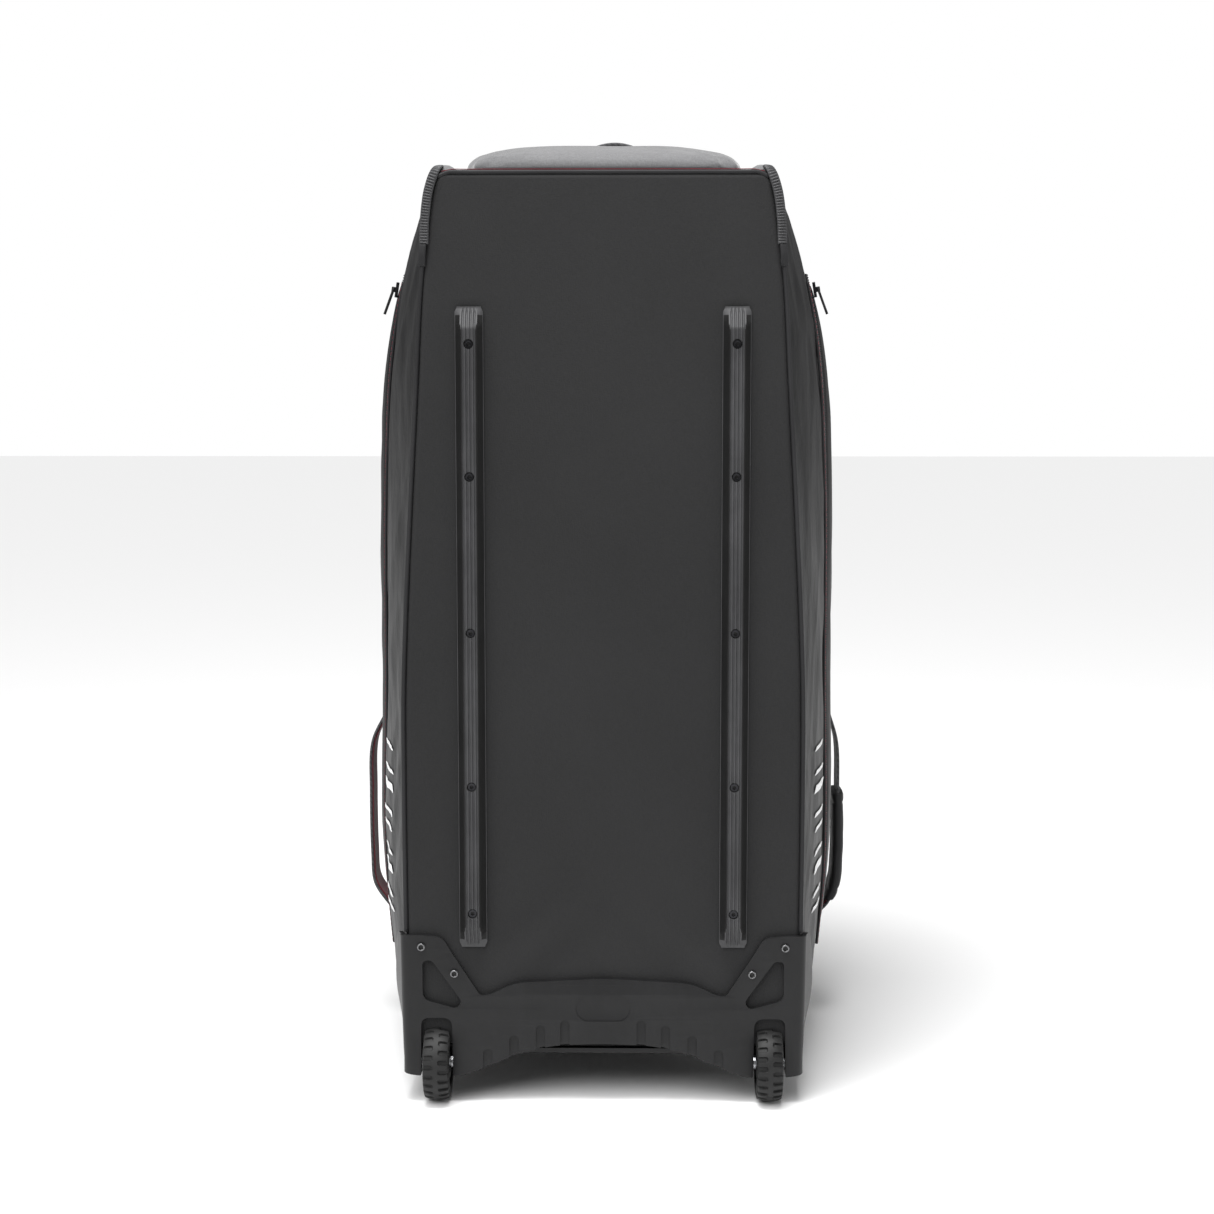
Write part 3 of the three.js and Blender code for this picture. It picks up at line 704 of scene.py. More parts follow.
def flap_zip_line(side, inset=0.0):
    """Up the back corner, over the top and down the front, moved in by an inset."""
    back, top, front = BACK_Y + inset, TOP_Z - inset, FRONT_Y - inset
    return [
        (side * 162.4, back - 0.9, FOLD_Z + 14), (side * 161.4, back - 0.9, 825),
        (side * 158.0, back - 0.6, 850), (side * 152.5, back + 1.2, top - 1),
        (side * 149.5, back + 9, top + 4.0), (side * 147.4, back + 30, top + 3.0),
        (side * 147, back + 60, top + 1.9), (side * 147, MID_Y, top + 1.9),
        (side * 147, front - 30, top + 1.9), (side * 147, front - 6, top + 1.6),
        (side * 147.5, front + 0.4, top - 5), (side * 148, front + 0.4, 845),
        (side * 148, front + 0.4, FOLD_Z + 6),
    ]


def flap_zip(name, side):
    """The ribbed band that closes a flap."""
    path, length = curve_through(flap_zip_line(side))
    inside = Vector((side * 120, 0, 780))

    def out(t):
        along = direction(path, t, 0.004)
        away = Vector((side * 0.12, along.z * -1, along.y))
        away -= along * away.dot(along)
        if away.dot(path(t) - inside) < 0:
            away = -away
        return away.normalized()

    band = zip_band("flap_zip_band_" + name, path, length, out, ZIP_WIDE, 0.1, COIL, 2.5, 2.1)
    place(band, "flap_" + name, "zip", "flap_zip_" + name)
    # The plain garage that the zip runs into at its back end.
    x = side * 163.2
    tab = [
        (x, BACK_Y - 1.2, FOLD_Z + 16), (x + side * 0.9, BACK_Y - 1.0, FOLD_Z + 4),
        (x + side * 1.3, BACK_Y + 0.2, FOLD_Z - 6),
    ]
    at, run = curve_through(tab)
    garage = zip_band(
        "zip_garage_" + name, at, run, lambda t: Vector((side * 0.2, -1, 0)).normalized(),
        ZIP_WIDE - 1.6, 0.3, PIPING, 30, 1.7,
    )
    place(garage, "flap_" + name, "tarpaulin")


def side_zip(name, side):
    node_low, node_high = low("side_zip_right"), high("side_zip_right")
    depth = (node_low.y + node_high.y) / 2
    heights = np.linspace(node_low.z, node_high.z, 24)
    line = [mirrored(side_point(side_share(depth, float(z)), float(z), 0.4), side) for z in heights]
    path, length = curve_through(line)
    band = zip_band(
        "side_zip_band_" + name, path, length, lambda t: Vector((side, 0, 0)), 6.0, 0.3, COIL, 2.4, 1.7
    )
    place(band, "bag", "zip", "side_zip_" + name)
    tape = zip_band(
        "side_zip_tape_" + name, path, length, lambda t: Vector((side, 0, 0)), 15.0, -0.6, TAPE, 60, 1.1
    )
    place(tape, "bag", "zip")


# ---------------------------------------------------------------- top


def top_height(x, y):
    """The top panel: held up beside the zips, slack between them and the pocket."""
    dome = TOP_Z + 5 * (1 - (y / 190) ** 2) * (1 - (x / 190) ** 2)
    lip = 7.0 * smooth((abs(x) - 128) / 14) * smooth((y - BACK_Y) / 14)
    return dome - 1 + lip + 0.8 * fold(x, y, 0.6, 30, 5.5) * smooth((142 - abs(x)) / 12)


def top_panel():
    def spot(u, v):
        x = lerp(-146.5, 146.5, u)
        y = lerp(BACK_Y + 5, FRONT_Y - 4, v)
        z = top_height(x, y)
        edge = min(y - (BACK_Y + 5), FRONT_Y - 4 - y)
        z -= 4.5 * (1 - smooth(edge / 9))
        return (x, y, z)
    # The top panel takes the pale copy of the dark weave: painted light from above.
    cloth = surface("top_cloth", spot, 90, 110, TOP_CLOTH_PAINTED_LIGHT)
    modifier(cloth, "SOLIDIFY", thickness=1.6 * MM, offset=-1)
    place(cloth, "bag", "woven_fabric", "top_panel")
    # Bound seam between the back panel and the top.
    z = TOP_Z - 0.6
    line = [(x, BACK_Y + 2.4, z - 6 * max(0, (abs(x) - 138) / 14) ** 2) for x in np.linspace(-150, 150, 31)]
    place(tube("top_seam", line, 2.1, PIPING), "bag", "tarpaulin")
    red = [
        (x, BACK_Y + 1.6, z + 2.4 - 6 * max(0, (abs(x) - 138) / 14) ** 2) for x in np.linspace(-146, 146, 31)
    ]
    place(tube("top_seam_thread", red, 0.35, RED, sides=5), "bag", "tarpaulin")
    corner_backing()


def corner_backing():
    """The dark tape behind the panel's rounded top corners, that the zips are sewn to."""
    def spot(u, v):
        z = lerp(TOP_Z - 40, TOP_Z + 1.5, v)
        x = lerp(-1, 1, u) * (back_half(z) - 0.6)
        return (x, BACK_Y + 5.2, z)
    tape = surface("corner_backing", spot, 60, 12, TAPE)
    modifier(tape, "SOLIDIFY", thickness=1.2 * MM, offset=-1)
    place(tape, "bag", "woven_fabric")


def cloth_pad(piece, pressure, cap, voxel=None, frames=20, pinned=None):
    """Swells a closed piece as stuffed cloth, and leaves the result in its mesh."""
    if voxel:
        modifier(piece, "REMESH", mode="VOXEL", voxel_size=voxel * MM)
        applied(piece)
    start = np.array([v.co for v in piece.data.vertices])
    cloth = modifier(piece, "CLOTH")
    cloth.settings.quality = 4
    cloth.settings.use_pressure = True
    cloth.settings.uniform_pressure_force = pressure
    cloth.settings.effector_weights.gravity = 0
    cloth.settings.tension_stiffness = 12
    cloth.settings.bending_stiffness = 0.6
    if pinned:
        group = piece.vertex_groups.new(name="held")
        held = [v.index for v in piece.data.vertices if pinned(v.co / MM)]
        group.add(held, 1.0, "REPLACE")
        cloth.settings.vertex_group_mass = "held"
    scene = bpy.context.scene
    cloth.point_cache.frame_start, cloth.point_cache.frame_end = 1, frames
    for step in range(1, frames + 1):
        scene.frame_set(step)
    graph = bpy.context.evaluated_depsgraph_get()
    mesh = bpy.data.meshes.new_from_object(piece.evaluated_get(graph))
    piece.modifiers.clear()
    piece.data = mesh
    scene.frame_set(1)
    moved = np.array([v.co for v in piece.data.vertices]) - start
    length = np.linalg.norm(moved, axis=1, keepdims=True)
    moved *= np.minimum(1.0, cap * MM / np.maximum(length, 1e-9))
    piece.data.vertices.foreach_set("co", (start + moved).ravel().astype(np.float32))
    piece.data.update()
    return piece


def top_pocket():
    """The stuffed pocket on the end, with box corners that gather."""
    box_low, box_high = low("top_pocket"), high("top_pocket")
    half = box_high.x
    middle_y = (box_low.y + box_high.y) / 2
    reach_y = (box_high.y - box_low.y) / 2
    rise = box_high.z - TOP_Z - 1
    rings, count = 30, 132
    points = []
    for j in range(rings + 1):
        share = j / rings
        for i in range(count):
            a = 2 * math.pi * i / count
            c, s = math.cos(a), math.sin(a)
            square = (abs(c) ** 6 + abs(s) ** 6) ** (-1 / 6)
            ux, uy = c * square, s * square
            corner = smooth((min(abs(ux), abs(uy)) - 0.62) / 0.3)
            gather = corner * math.sin(a * 34) * 3.4
            if share < 0.45:
                wall = share / 0.45
                out = 1.0 + 0.02 * math.sin(math.pi * wall) - 0.075 * wall**1.6
                x = ux * (half - 2) * out
                y = middle_y + uy * (reach_y - 2) * out
                z = TOP_Z + 1 + wall * rise * 0.62
                bulge = gather * math.sin(math.pi * min(1, wall * 1.1))
                x, y = x + c * bulge, y + s * bulge
            else:
                inner = 1 - (share - 0.45) / 0.55
                x = ux * (half - 2) * inner * 0.925
                y = middle_y + uy * (reach_y - 2) * inner * 0.925
                z = TOP_Z + 1 + rise * (0.62 + 0.38 * (1 - inner**3))
                z += gather * 0.5 * inner**6
                z += 1.2 * fold(x, y, 0.8, 60, 1.7) * (1 - inner**8)
            points.append((x, y, z))
    faces = grid_faces(count, rings, closed_u=True)
    points.append((0, middle_y, TOP_Z + 1))
    hub = len(points) - 1
    for i in range(count):
        faces.append((i, (i + 1) % count, hub))
    # The pocket takes the pale copy of the dark weave: painted light from above.
    pocket = outward(mesh_object("top_pocket_cloth", points, faces, TOP_CLOTH_PAINTED_LIGHT))
    cloth_pad(pocket, 1.6, 5, 3.2, 12, lambda p: p.z < TOP_Z + 5)
    modifier(pocket, "SUBSURF", levels=1, render_levels=1)
    pocket.data.shade_smooth()
    place(pocket, "bag", "woven_fabric", "top_pocket")

    inset, corners = 2.2, []
    for i in range(72):
        a = 2 * math.pi * i / 72
        c, s = math.cos(a), math.sin(a)
        square = (abs(c) ** 6 + abs(s) ** 6) ** (-1 / 6)
        corners.append((c * square * (half - inset), middle_y + s * square * (reach_y - inset), TOP_Z + 3.6))
    place(tube("pocket_piping", corners, 1.6, PIPING, closed=True), "bag", "woven_fabric")


def grab_handle():
    node_low, node_high = low("top_handle"), high("top_handle")
    x0, y0 = (node_low.x + node_high.x) / 2, (node_low.y + node_high.y) / 2
    half, rise = (node_high.x - node_low.x) / 2, node_high.z - node_low.z
    wide, thick = node_high.y - node_low.y, 4.0

    def spot(u, v, lift=0.0):
        a = math.pi * (1 - u)
        base = Vector((x0 + half * math.cos(a), y0, node_low.z + rise * math.sin(a)))
        out = Vector((math.cos(a) * rise, 0, math.sin(a) * half)).normalized()
        roll = 2 * math.pi * v
        across = math.cos(roll)
        lift_by = math.sin(roll)
        size = (abs(across) ** 4 + abs(lift_by) ** 4) ** (-1 / 4)
        pinch = 1 - 0.28 * math.sin(math.pi * u) ** 2
        aside = Vector((0, across * size * wide / 2 * pinch, 0))
        return base + aside + out * (lift_by * size - 1) * thick / 2

    count = 40
    points = [spot(i / 60, j / count) for i in range(61) for j in range(count)]
    handle = outward(mesh_object("grab_handle_cloth", points, sleeve_faces(count, 60), WEB))
    place(handle, "bag", "webbing", "top_handle")
    for number, sign in enumerate((-1, 1)):
        x = x0 + sign * (half + 8)
        patch = patch_box(f"grab_handle_patch_{number + 1}", 26, wide + 4, 2.4, WEB)
        patch.matrix_world = Matrix.Translation(Vector((x, y0, node_low.z + 0.6)) * MM)
        place(patch, "bag", "webbing")


def patch_box(name, length, wide, thick, material):
    """A flat sewn patch lying in XY, with a stitched border raised on it."""
    def spot(u, v):
        x, y = (u - 0.5) * length, (v - 0.5) * wide
        edge = min(length / 2 - abs(x), wide / 2 - abs(y))
        return (x, y, thick * math.sqrt(clamp(edge / 1.6)) - (0.5 if 2.2 < edge < 3.4 else 0))
    top = surface(name, spot, 34, 40, material)
    modifier(top, "SOLIDIFY", thickness=0.8 * MM, offset=-1)
    return applied(top)


def flap_binding(name, side):
    """The bound edge of a flap, under its zip all the way round."""
    cord = tube("flap_binding_" + name, flap_zip_line(side, 2.6), 2.8, TAPE, sides=10)
    place(cord, "flap_" + name, "woven_fabric")


back_panel()
for side_name, side_sign in SIDES:
    side_shell(side_name, side_sign)
    flap_binding(side_name, side_sign)
    back_piping(side_name, side_sign)
    side_seam(side_name, side_sign)
    flap_zip(side_name, side_sign)
    side_zip(side_name, side_sign)
top_panel()
top_pocket()
grab_handle()

# ---------------------------------------------------------------- moulded base


def slab_from_outline(name, loops, thick, material):
    """A flat plate in XY from closed loops; the first is the outline, the rest are windows."""
    curve = bpy.data.curves.new(name, "CURVE")
    curve.dimensions = "2D"
    curve.fill_mode = "BOTH"
    curve.extrude = thick / 2 * MM
    for loop in loops:
        spline = curve.splines.new("POLY")
        spline.points.add(len(loop) - 1)
        for point, (x, y) in zip(spline.points, loop):
            point.co = (x * MM, y * MM, 0, 1)
        spline.use_cyclic_u = True
    line = bpy.data.objects.new(name + "_line", curve)
    bpy.context.scene.collection.objects.link(line)
    graph = bpy.context.evaluated_depsgraph_get()
    mesh = bpy.data.meshes.new_from_object(line.evaluated_get(graph))
    bpy.data.objects.remove(line)
    plate = bpy.data.objects.new(name, mesh)
    bpy.context.scene.collection.objects.link(plate)
    mesh.materials.clear()
    mesh.materials.append(material)
    welded = bmesh.new()
    welded.from_mesh(mesh)
    bmesh.ops.remove_doubles(welded, verts=welded.verts, dist=0.01 * MM)
    welded.to_mesh(mesh)
    welded.free()
    return plate


def rounded_loop(corners, radius, steps=7):
    """A closed loop with each corner rounded. A corner may carry its own radius."""
    loop = []
    count = len(corners)
    for i, corner in enumerate(corners):
        here = Vector(corner[:2])
        size = corner[2] if len(corner) > 2 else radius
        before = Vector(corners[i - 1][:2]) - here
        after = Vector(corners[(i + 1) % count][:2]) - here
        reach = min(size, before.length * 0.48, after.length * 0.48)
        a, b = here + before.normalized() * reach, here + after.normalized() * reach
        for k in range(steps + 1):
            t = k / steps
            point = a * (1 - t) ** 2 + here * 2 * t * (1 - t) + b * t**2
            loop.append((point.x, point.y))
    return loop


WRAP_R = 9.0
PLATE_THICK = 4.0
WING_TOP = high("base_shell").z
_wrap_cache = {}


def wrap_line(z):
    """Half of the base's outer line at a height: along the back, round the corner, up the side."""
    key = round(z * 2) / 2
    if key in _wrap_cache:
        return _wrap_cache[key]
    side = [side_point(s, max(key, FLOOR_Z - 8), 4.4) for s in np.linspace(0.02, 0.34, 24)]
    side = [p for p in side if p.y > PLATE_Y + WRAP_R + 2]
    corner = side[0].x + 0.4
    line = [(0.0, PLATE_Y), (corner - WRAP_R, PLATE_Y)]
    for k in range(1, 8):
        a = math.pi / 2 * k / 8
        line.append((corner - WRAP_R + WRAP_R * math.sin(a), PLATE_Y + WRAP_R * (1 - math.cos(a))))
    line += [(p.x, p.y) for p in side]
    line = np.array(line)
    run = np.concatenate([[0], np.cumsum(np.linalg.norm(np.diff(line, axis=0), axis=1))])
    _wrap_cache[key] = (line, run)
    return _wrap_cache[key]


def wrapped(s, z, depth):
    """A point of the wrapped base: s along its outer face from the middle, depth inward."""
    line, run = wrap_line(z)
    share = abs(s)
    here = np.array([np.interp(share, run, line[:, k]) for k in (0, 1)])
    ahead = np.array([np.interp(share + 1.5, run, line[:, k]) for k in (0, 1)])
    behind = np.array([np.interp(max(share - 1.5, 0), run, line[:, k]) for k in (0, 1)])
    along = ahead - behind
    along /= max(np.linalg.norm(along), 1e-9)
    here = here + np.array([-along[1], along[0]]) * depth
    return (math.copysign(here[0], s) if s else 0.0, here[1], z)


NOTCHES = [(109, 52), (84, 65.5), (59, 75.4), (36, 80.4)]
NOTCH_R = 4.4
NOTCH_DEEP = 3.1
HOUSING_OUT = 181.6


def base_plate():
    """One moulding: the arched back, its arms and windows, and the wings round the corners."""
    half = [
        (0, 57.5, 30), (50, 55.5, 30), (84, 46, 20), (112, 33.5, 8), (134, 25.5, 12), (141.8, 25, 2),
        (142.6, 82, 9), (171.6, 82, 8), (172.2, 25.5, 2), (185, 27, 3), (222, 29, 8), (290, 31, 10),
        (270, 60, 20), (221, 158, 8), (184, 162, 5), (172, 162, 5), (151, 160.5, 9), (143, 146, 10),
        (115.5, 103.6, 4), (106, 105, 6), (84, 116, 14), (40, 119.6, 20), (0, 120.8, 20),
    ]
    arch = [p for p in half if p[0] > 0]
    outline = [half[0]] + arch[:-1] + [half[-1]] + [(-x, z, r) for x, z, r in reversed(arch[:-1])]
    loops = [rounded_loop(outline, 8)]
    window = [(170, 137), (161.5, 138), (133, 98), (138, 91), (166.5, 99), (170, 104)]
    for side in (1, -1):
        loops.append(rounded_loop([(x * side, z) for x, z in window], 5))
    plate = slab_from_outline("base_plate", loops, PLATE_THICK, BASE)
    cutters = []
    for x, top in NOTCHES:
        for side in (1, -1):
            points = [(side * x - NOTCH_R, 18), (side * x + NOTCH_R, 18), (side * x + NOTCH_R, top - NOTCH_R)]
            points += [
                (side * x + NOTCH_R * math.cos(a), top - NOTCH_R + NOTCH_R * math.sin(a))
                for a in np.linspace(0, math.pi, 11)[1:]
            ]
            cutters.append((points, NOTCH_DEEP))
    pill = [(math.copysign(13, c) + 13 * c, 92 + 13 * s) for c, s in
            [(math.cos(a), math.sin(a)) for a in np.linspace(0, 2 * math.pi, 41)[:-1] + 0.03]]
    cutters.append((pill, 1.3))
    for number, (points, deep) in enumerate(cutters):
        cutter = slab_from_outline(f"cut_{number}", [points], 8, BASE)
        for vertex in cutter.data.vertices:
            vertex.co.z += (PLATE_THICK / 2 - deep + 4) * MM
        modifier(plate, "BOOLEAN", operation="DIFFERENCE", solver="EXACT", object=cutter)
        applied(plate)
        bpy.data.objects.remove(cutter)
    modifier(
        plate, "BEVEL", width=0.9 * MM, segments=3, limit_method="ANGLE", angle_limit=math.radians(50)
    )
    applied(plate)
    cut = bmesh.new()
    cut.from_mesh(plate.data)
    bends = list(np.arange(172, 204, 1.6)) + list(np.arange(206, 292, 7))
    lines = [sign * s for sign in (-1, 1) for s in bends]
    for s in lines:
        everything = cut.verts[:] + cut.edges[:] + cut.faces[:]
        bmesh.ops.bisect_plane(cut, geom=everything, plane_co=(s * MM, 0, 0), plane_no=(1, 0, 0))
    for z in np.arange(34, 160, 8):
        everything = cut.verts[:] + cut.edges[:] + cut.faces[:]
        bmesh.ops.bisect_plane(cut, geom=everything, plane_co=(0, z * MM, 0), plane_no=(0, 1, 0))
    for vertex in cut.verts:
        s, z, lift = (c / MM for c in vertex.co)
        vertex.co = Vector(wrapped(s, z, PLATE_THICK / 2 - lift)) * MM
    bmesh.ops.recalc_face_normals(cut, faces=cut.faces)
    cut.to_mesh(plate.data)
    cut.free()
    sharp_edges(plate, 40)
    place(plate, "bag", "moulded_base", "base_shell")


def copy_of(node_name, name, material):
    """A new piece that starts as a copy of a CAD node's mesh."""
    source = NODES[node_name]
    made = bpy.data.objects.new(name, source.data.copy())
    made.matrix_world = source.matrix_world.copy()
    bpy.context.scene.collection.objects.link(made)
    made.data.transform(made.matrix_world)
    made.matrix_world = Matrix.Identity(4)
    made.data.materials.clear()
    made.data.materials.append(material)
    for face in made.data.polygons:
        face.material_index = 0
    return made


def wheel_housings():
    """The boxes over the wheels: what stands behind the base's back plate."""
    box = copy_of("base_shell", "wheel_housings", BASE)
    cut = bmesh.new()
    cut.from_mesh(box.data)
    bmesh.ops.remove_doubles(cut, verts=cut.verts, dist=0.005 * MM)
    keep = [((0, PLATE_Y + PLATE_THICK + 0.3, 0), (0, -1, 0))]
    keep += [((side * HOUSING_OUT, 0, 0), (side, 0, 0)) for side in (1, -1)]
    for spot, facing in keep:
        everything = cut.verts[:] + cut.edges[:] + cut.faces[:]
        bmesh.ops.bisect_plane(
            cut, geom=everything, plane_co=Vector(spot) * MM, plane_no=facing, clear_outer=True
        )
    cut.to_mesh(box.data)
    cut.free()
    rounded(box, 2.5, 3, 40)
    place(box, "bag", "moulded_base")


def hard_node(name, material, bevel=0.5, segments=2):
    """A CAD node shown as it is, with its edges eased."""
    piece = NODES[name]
    piece.data.materials.clear()
    piece.data.materials.append(material)
    modifier(piece, "WELD", merge_threshold=0.005 * MM)
    modifier(
        piece, "BEVEL", width=bevel * MM, segments=segments, limit_method="ANGLE",
        angle_limit=math.radians(35),
    )
    modifier(piece, "EDGE_SPLIT", split_angle=math.radians(42))


def socket_screw(node_name, material, socket):
    """A screw head with a hexagon socket cut in its face; the socket's walls take the dark pull plastic as
    painted shade.
    """
    screw = copy_of(node_name, node_name + "_head", material)
    box_low, box_high = low(node_name), high(node_name)
    middle = Vector(((box_low.x + box_high.x) / 2, box_low.y, (box_low.z + box_high.z) / 2))
    bpy.ops.mesh.primitive_cylinder_add(
        vertices=6, radius=socket * MM, depth=4.4 * MM, location=middle * MM,
        rotation=(math.pi / 2, 0, 0),
    )
    hexagon = bpy.context.object
    # The cutter hands its dark pull plastic to the socket walls: painted shade in the recess.
    hexagon.data.materials.append(PULL)
    modifier(
        screw, "BOOLEAN", operation="DIFFERENCE", solver="EXACT", object=hexagon, material_mode="TRANSFER"
    )
    applied(screw)
    bpy.data.objects.remove(hexagon)
    rounded(screw, 0.35, 2, 40)
    place(screw, "bag", "black_screw", node_name)


# ---------------------------------------------------------------- rails


def rail(name):
    """The rail's ribs run on down both ramps; counterbores take its screws."""
    box_low, box_high = low("rail_" + name), high("rail_" + name)
    x0 = (box_low.x + box_high.x) / 2
    foot = (box_high.x - box_low.x) / 2
    crest, tall = 13.5 / 2, box_high.y - box_low.y
    z0, z1 = box_low.z, box_high.z
    ramp = 20.0
    across = np.concatenate([
        [-foot, -foot + 0.5, -crest - 1.2, -crest - 0.35, -crest + 0.3],
        np.linspace(-crest + 0.8, crest - 0.8, 43),
        [crest - 0.3, crest + 0.35, crest + 1.2, foot - 0.5, foot],
    ])
    rows = np.concatenate([
        z0 + ramp * 1.25 * np.linspace(0, 1, 22) ** 1.2, np.linspace(z0 + ramp * 1.3, z1 - ramp * 1.3, 40),
        z1 - ramp * 1.25 * np.linspace(1, 0, 22) ** 1.2,
    ])

    def height(x, z):
        flank = clamp((foot - abs(x)) / (foot - crest))
        along = clamp(min(z - z0, z1 - z) / ramp)
        rise = min(flank, along)
        soft = 0.02
        rise = rise - 0.5 * soft * math.exp(-abs(flank - along) / soft)
        rib = 0.0
        if abs(x) < crest - 0.6:
            rib = 0.5 + 0.5 * math.cos(2 * math.pi * (x / (2 * crest - 1.2) * 3.5))
            rib = smooth(rib * 1.6 - 0.2)
        groove = 1.15 * (1 - rib) * (1 if abs(x) < crest - 0.6 else 0)
        return max(0.6, rise * tall - groove * smooth(along * 3))

    points, count = [], len(across)
    for z in rows:
        end = min(z - z0, z1 - z)
        pinch = 1 - 0.16 * (1 - smooth(end / 5.5))
        for x in across:
            points.append((x0 + x * pinch, box_high.y - height(x, z), z))
    faces = grid_faces(count - 1, len(rows) - 1)
    base = len(points)
    for z in rows:
        end = min(z - z0, z1 - z)
        pinch = 1 - 0.16 * (1 - smooth(end / 5.5))
        points += [(x0 - foot * pinch, box_high.y, z), (x0 + foot * pinch, box_high.y, z)]
    last = len(rows) - 1
    for j in range(last):
        a, b = base + 2 * j, base + 2 * j + 1
        faces += [(a, a + 2, b + 2, b), (j * count, (j + 1) * count, a + 2, a)]
        end = j * count + count - 1
        faces.append((end, b, b + 2, end + count))
    faces.append((*range(count), base + 1, base))
    faces.append((*range(last * count, last * count + count), base + 2 * last + 1, base + 2 * last))
    body = outward(mesh_object("rail_body_" + name, points, faces, RAIL))
    for number in range(1, 6):
        head_low, head_high = low(f"rail_screw_{name}_{number}"), high(f"rail_screw_{name}_{number}")
        x, z = (head_low.x + head_high.x) / 2, (head_low.z + head_high.z) / 2
        bpy.ops.mesh.primitive_cylinder_add(
            vertices=48, radius=4.5 * MM, depth=30 * MM, rotation=(math.pi / 2, 0, 0),
            location=(x * MM, (head_low.y + 2.6 - 15) * MM, z * MM),
        )
        bore = bpy.context.object
        modifier(body, "BOOLEAN", operation="DIFFERENCE", solver="EXACT", object=bore)
        applied(body)
        bpy.data.objects.remove(bore)
    sharp_edges(body, 32)
    # The flanks take a far darker copy of the plastic as painted shade; the crest and the ramps keep the
    # paler plastic.
    body.data.materials.append(RAIL_FLANK_PAINTED_SHADE)
    for face in body.data.polygons:
        if abs(face.normal.x) > 0.55 and abs(face.center.x / MM - x0) > crest:
            face.material_index = 1
    place(body, "bag", "rail_plastic", "rail_" + name)


# ---------------------------------------------------------------- wheels


def tyre(name):
    """Block tread: slots cut in turn from each edge, leaving a rib round the middle."""
    box_low, box_high = low("tyre_" + name), high("tyre_" + name)
    x0, half = (box_low.x + box_high.x) / 2, (box_high.x - box_low.x) / 2
    outer = WHEEL_R
    bore = max(22.0, (high("hub_" + name).z - low("hub_" + name).z) / 2 + 0.2)
    outline = [(-half + 0.8, bore), (-half, bore + 1.2), (-half, outer - 8), (-half + 0.5, outer - 4.5)]
    tread = np.linspace(-half + 1.2, half - 1.2, 41)
    outline += [(x, outer - 2.6 * (abs(x) / half) ** 2.6) for x in tread]
    outline += [(half - 0.5, outer - 4.5), (half, outer - 8), (half, bore + 1.2), (half - 0.8, bore)]
    slots, around = 24, 24 * 22
    points = []
    for i in range(around):
        a = 2 * math.pi * i / around
        for x, r in outline:
            if r > outer - 5:
                turn = a * slots / (2 * math.pi) + (0.5 if x < 0 else 0)
                off = abs((turn + 0.5) % 1 - 0.5) * 2 * math.pi * outer / slots
                reach = abs(x) - 2.4
                end = math.hypot(off, max(0, 2.2 - reach)) if reach < 2.2 else off
                cut = 1 - smooth((end - 1.7) / 0.9)
                cut *= 1 if reach > 0 else 0
                r -= 2.3 * cut
            points.append((x0 + x, WHEEL_Y + r * math.cos(a), WHEEL_R + r * math.sin(a)))
    count = len(outline)
    faces = []
    for i in range(around):
        k = (i + 1) % around
        for j in range(count):
            n = (j + 1) % count
            faces.append((i * count + j, i * count + n, k * count + n, k * count + j))
    wheel = outward(mesh_object("tyre_tread_" + name, points, faces, RUBBER))
    sharp_edges(wheel, 45)
    place(wheel, "wheel_" + name, "tyre_rubber", "tyre_" + name)


# ---------------------------------------------------------------- straps


def strap_path(name, side):
    reach = max(abs(low("haul_strap_" + name).x), abs(high("haul_strap_" + name).x))
    line = [
        (223.5, 366), (227.5, 352), (233.5, 332), (reach - 6, 300), (reach - 4, 245), (reach - 3.5, 180),
        (reach - 6, 148), (235, 128), (225, 116), (221.5, 106),
    ]
    if side < 0:
        line = [(x + 0.6 * math.sin(z / 31), z) for x, z in line]
    y = (low("haul_strap_" + name).y + high("haul_strap_" + name).y) / 2
    return curve_through([(side * x, y, z) for x, z in line])


def band_along(name, path, side, wide, thick, inward, material, start=0.0, stop=1.0, steps=110):
    """A flat soft band swept along a path, lying across Y."""
    points = []
    around = 36
    for i in range(steps + 1):
        t = lerp(start, stop, i / steps)
        here, along = path(t), direction(path, t)
        out = Vector((along.z, 0, -along.x))
        if out.x * side < 0:
            out = -out
        here = here - out * inward
        cup = 0.5 * math.sin(t * 9 + side)
        for j in range(around):
            a = 2 * math.pi * j / around
            c, s = math.cos(a), math.sin(a)
            size = (abs(c) ** 10 + abs(s) ** 10) ** (-0.1)
            across = c * size
            lift = s * size * thick / 2 + cup * (across**2 - 0.4)
            points.append(here + Vector((0, across * wide / 2, 0)) + out * lift)
    return outward(mesh_object(name, points, sleeve_faces(around, steps), material))


def haul_strap(name, side):
    path, _ = strap_path(name, side)
    wide = high("haul_strap_" + name).y - low("haul_strap_" + name).y
    band = band_along("haul_strap_web_" + name, path, side, wide, 2.8, 0.0, WEB)
    place(band, "bag", "webbing", "haul_strap_" + name)
    lining = band_along(
        "haul_strap_lining_" + name, path, side, wide - 3, 1.2, 2.3, RED, 0.47 if side > 0 else 0.1, 0.965
    )
    place(lining, "bag", "webbing")
    for part, z in (("top", 366), ("foot", 106)):
        middle_y = high("haul_strap_" + name).y - wide / 2
        patch = side_patch(f"strap_patch_{name}_{part}", side, middle_y, z, 46, 26)
        place(patch, "bag", "webbing")


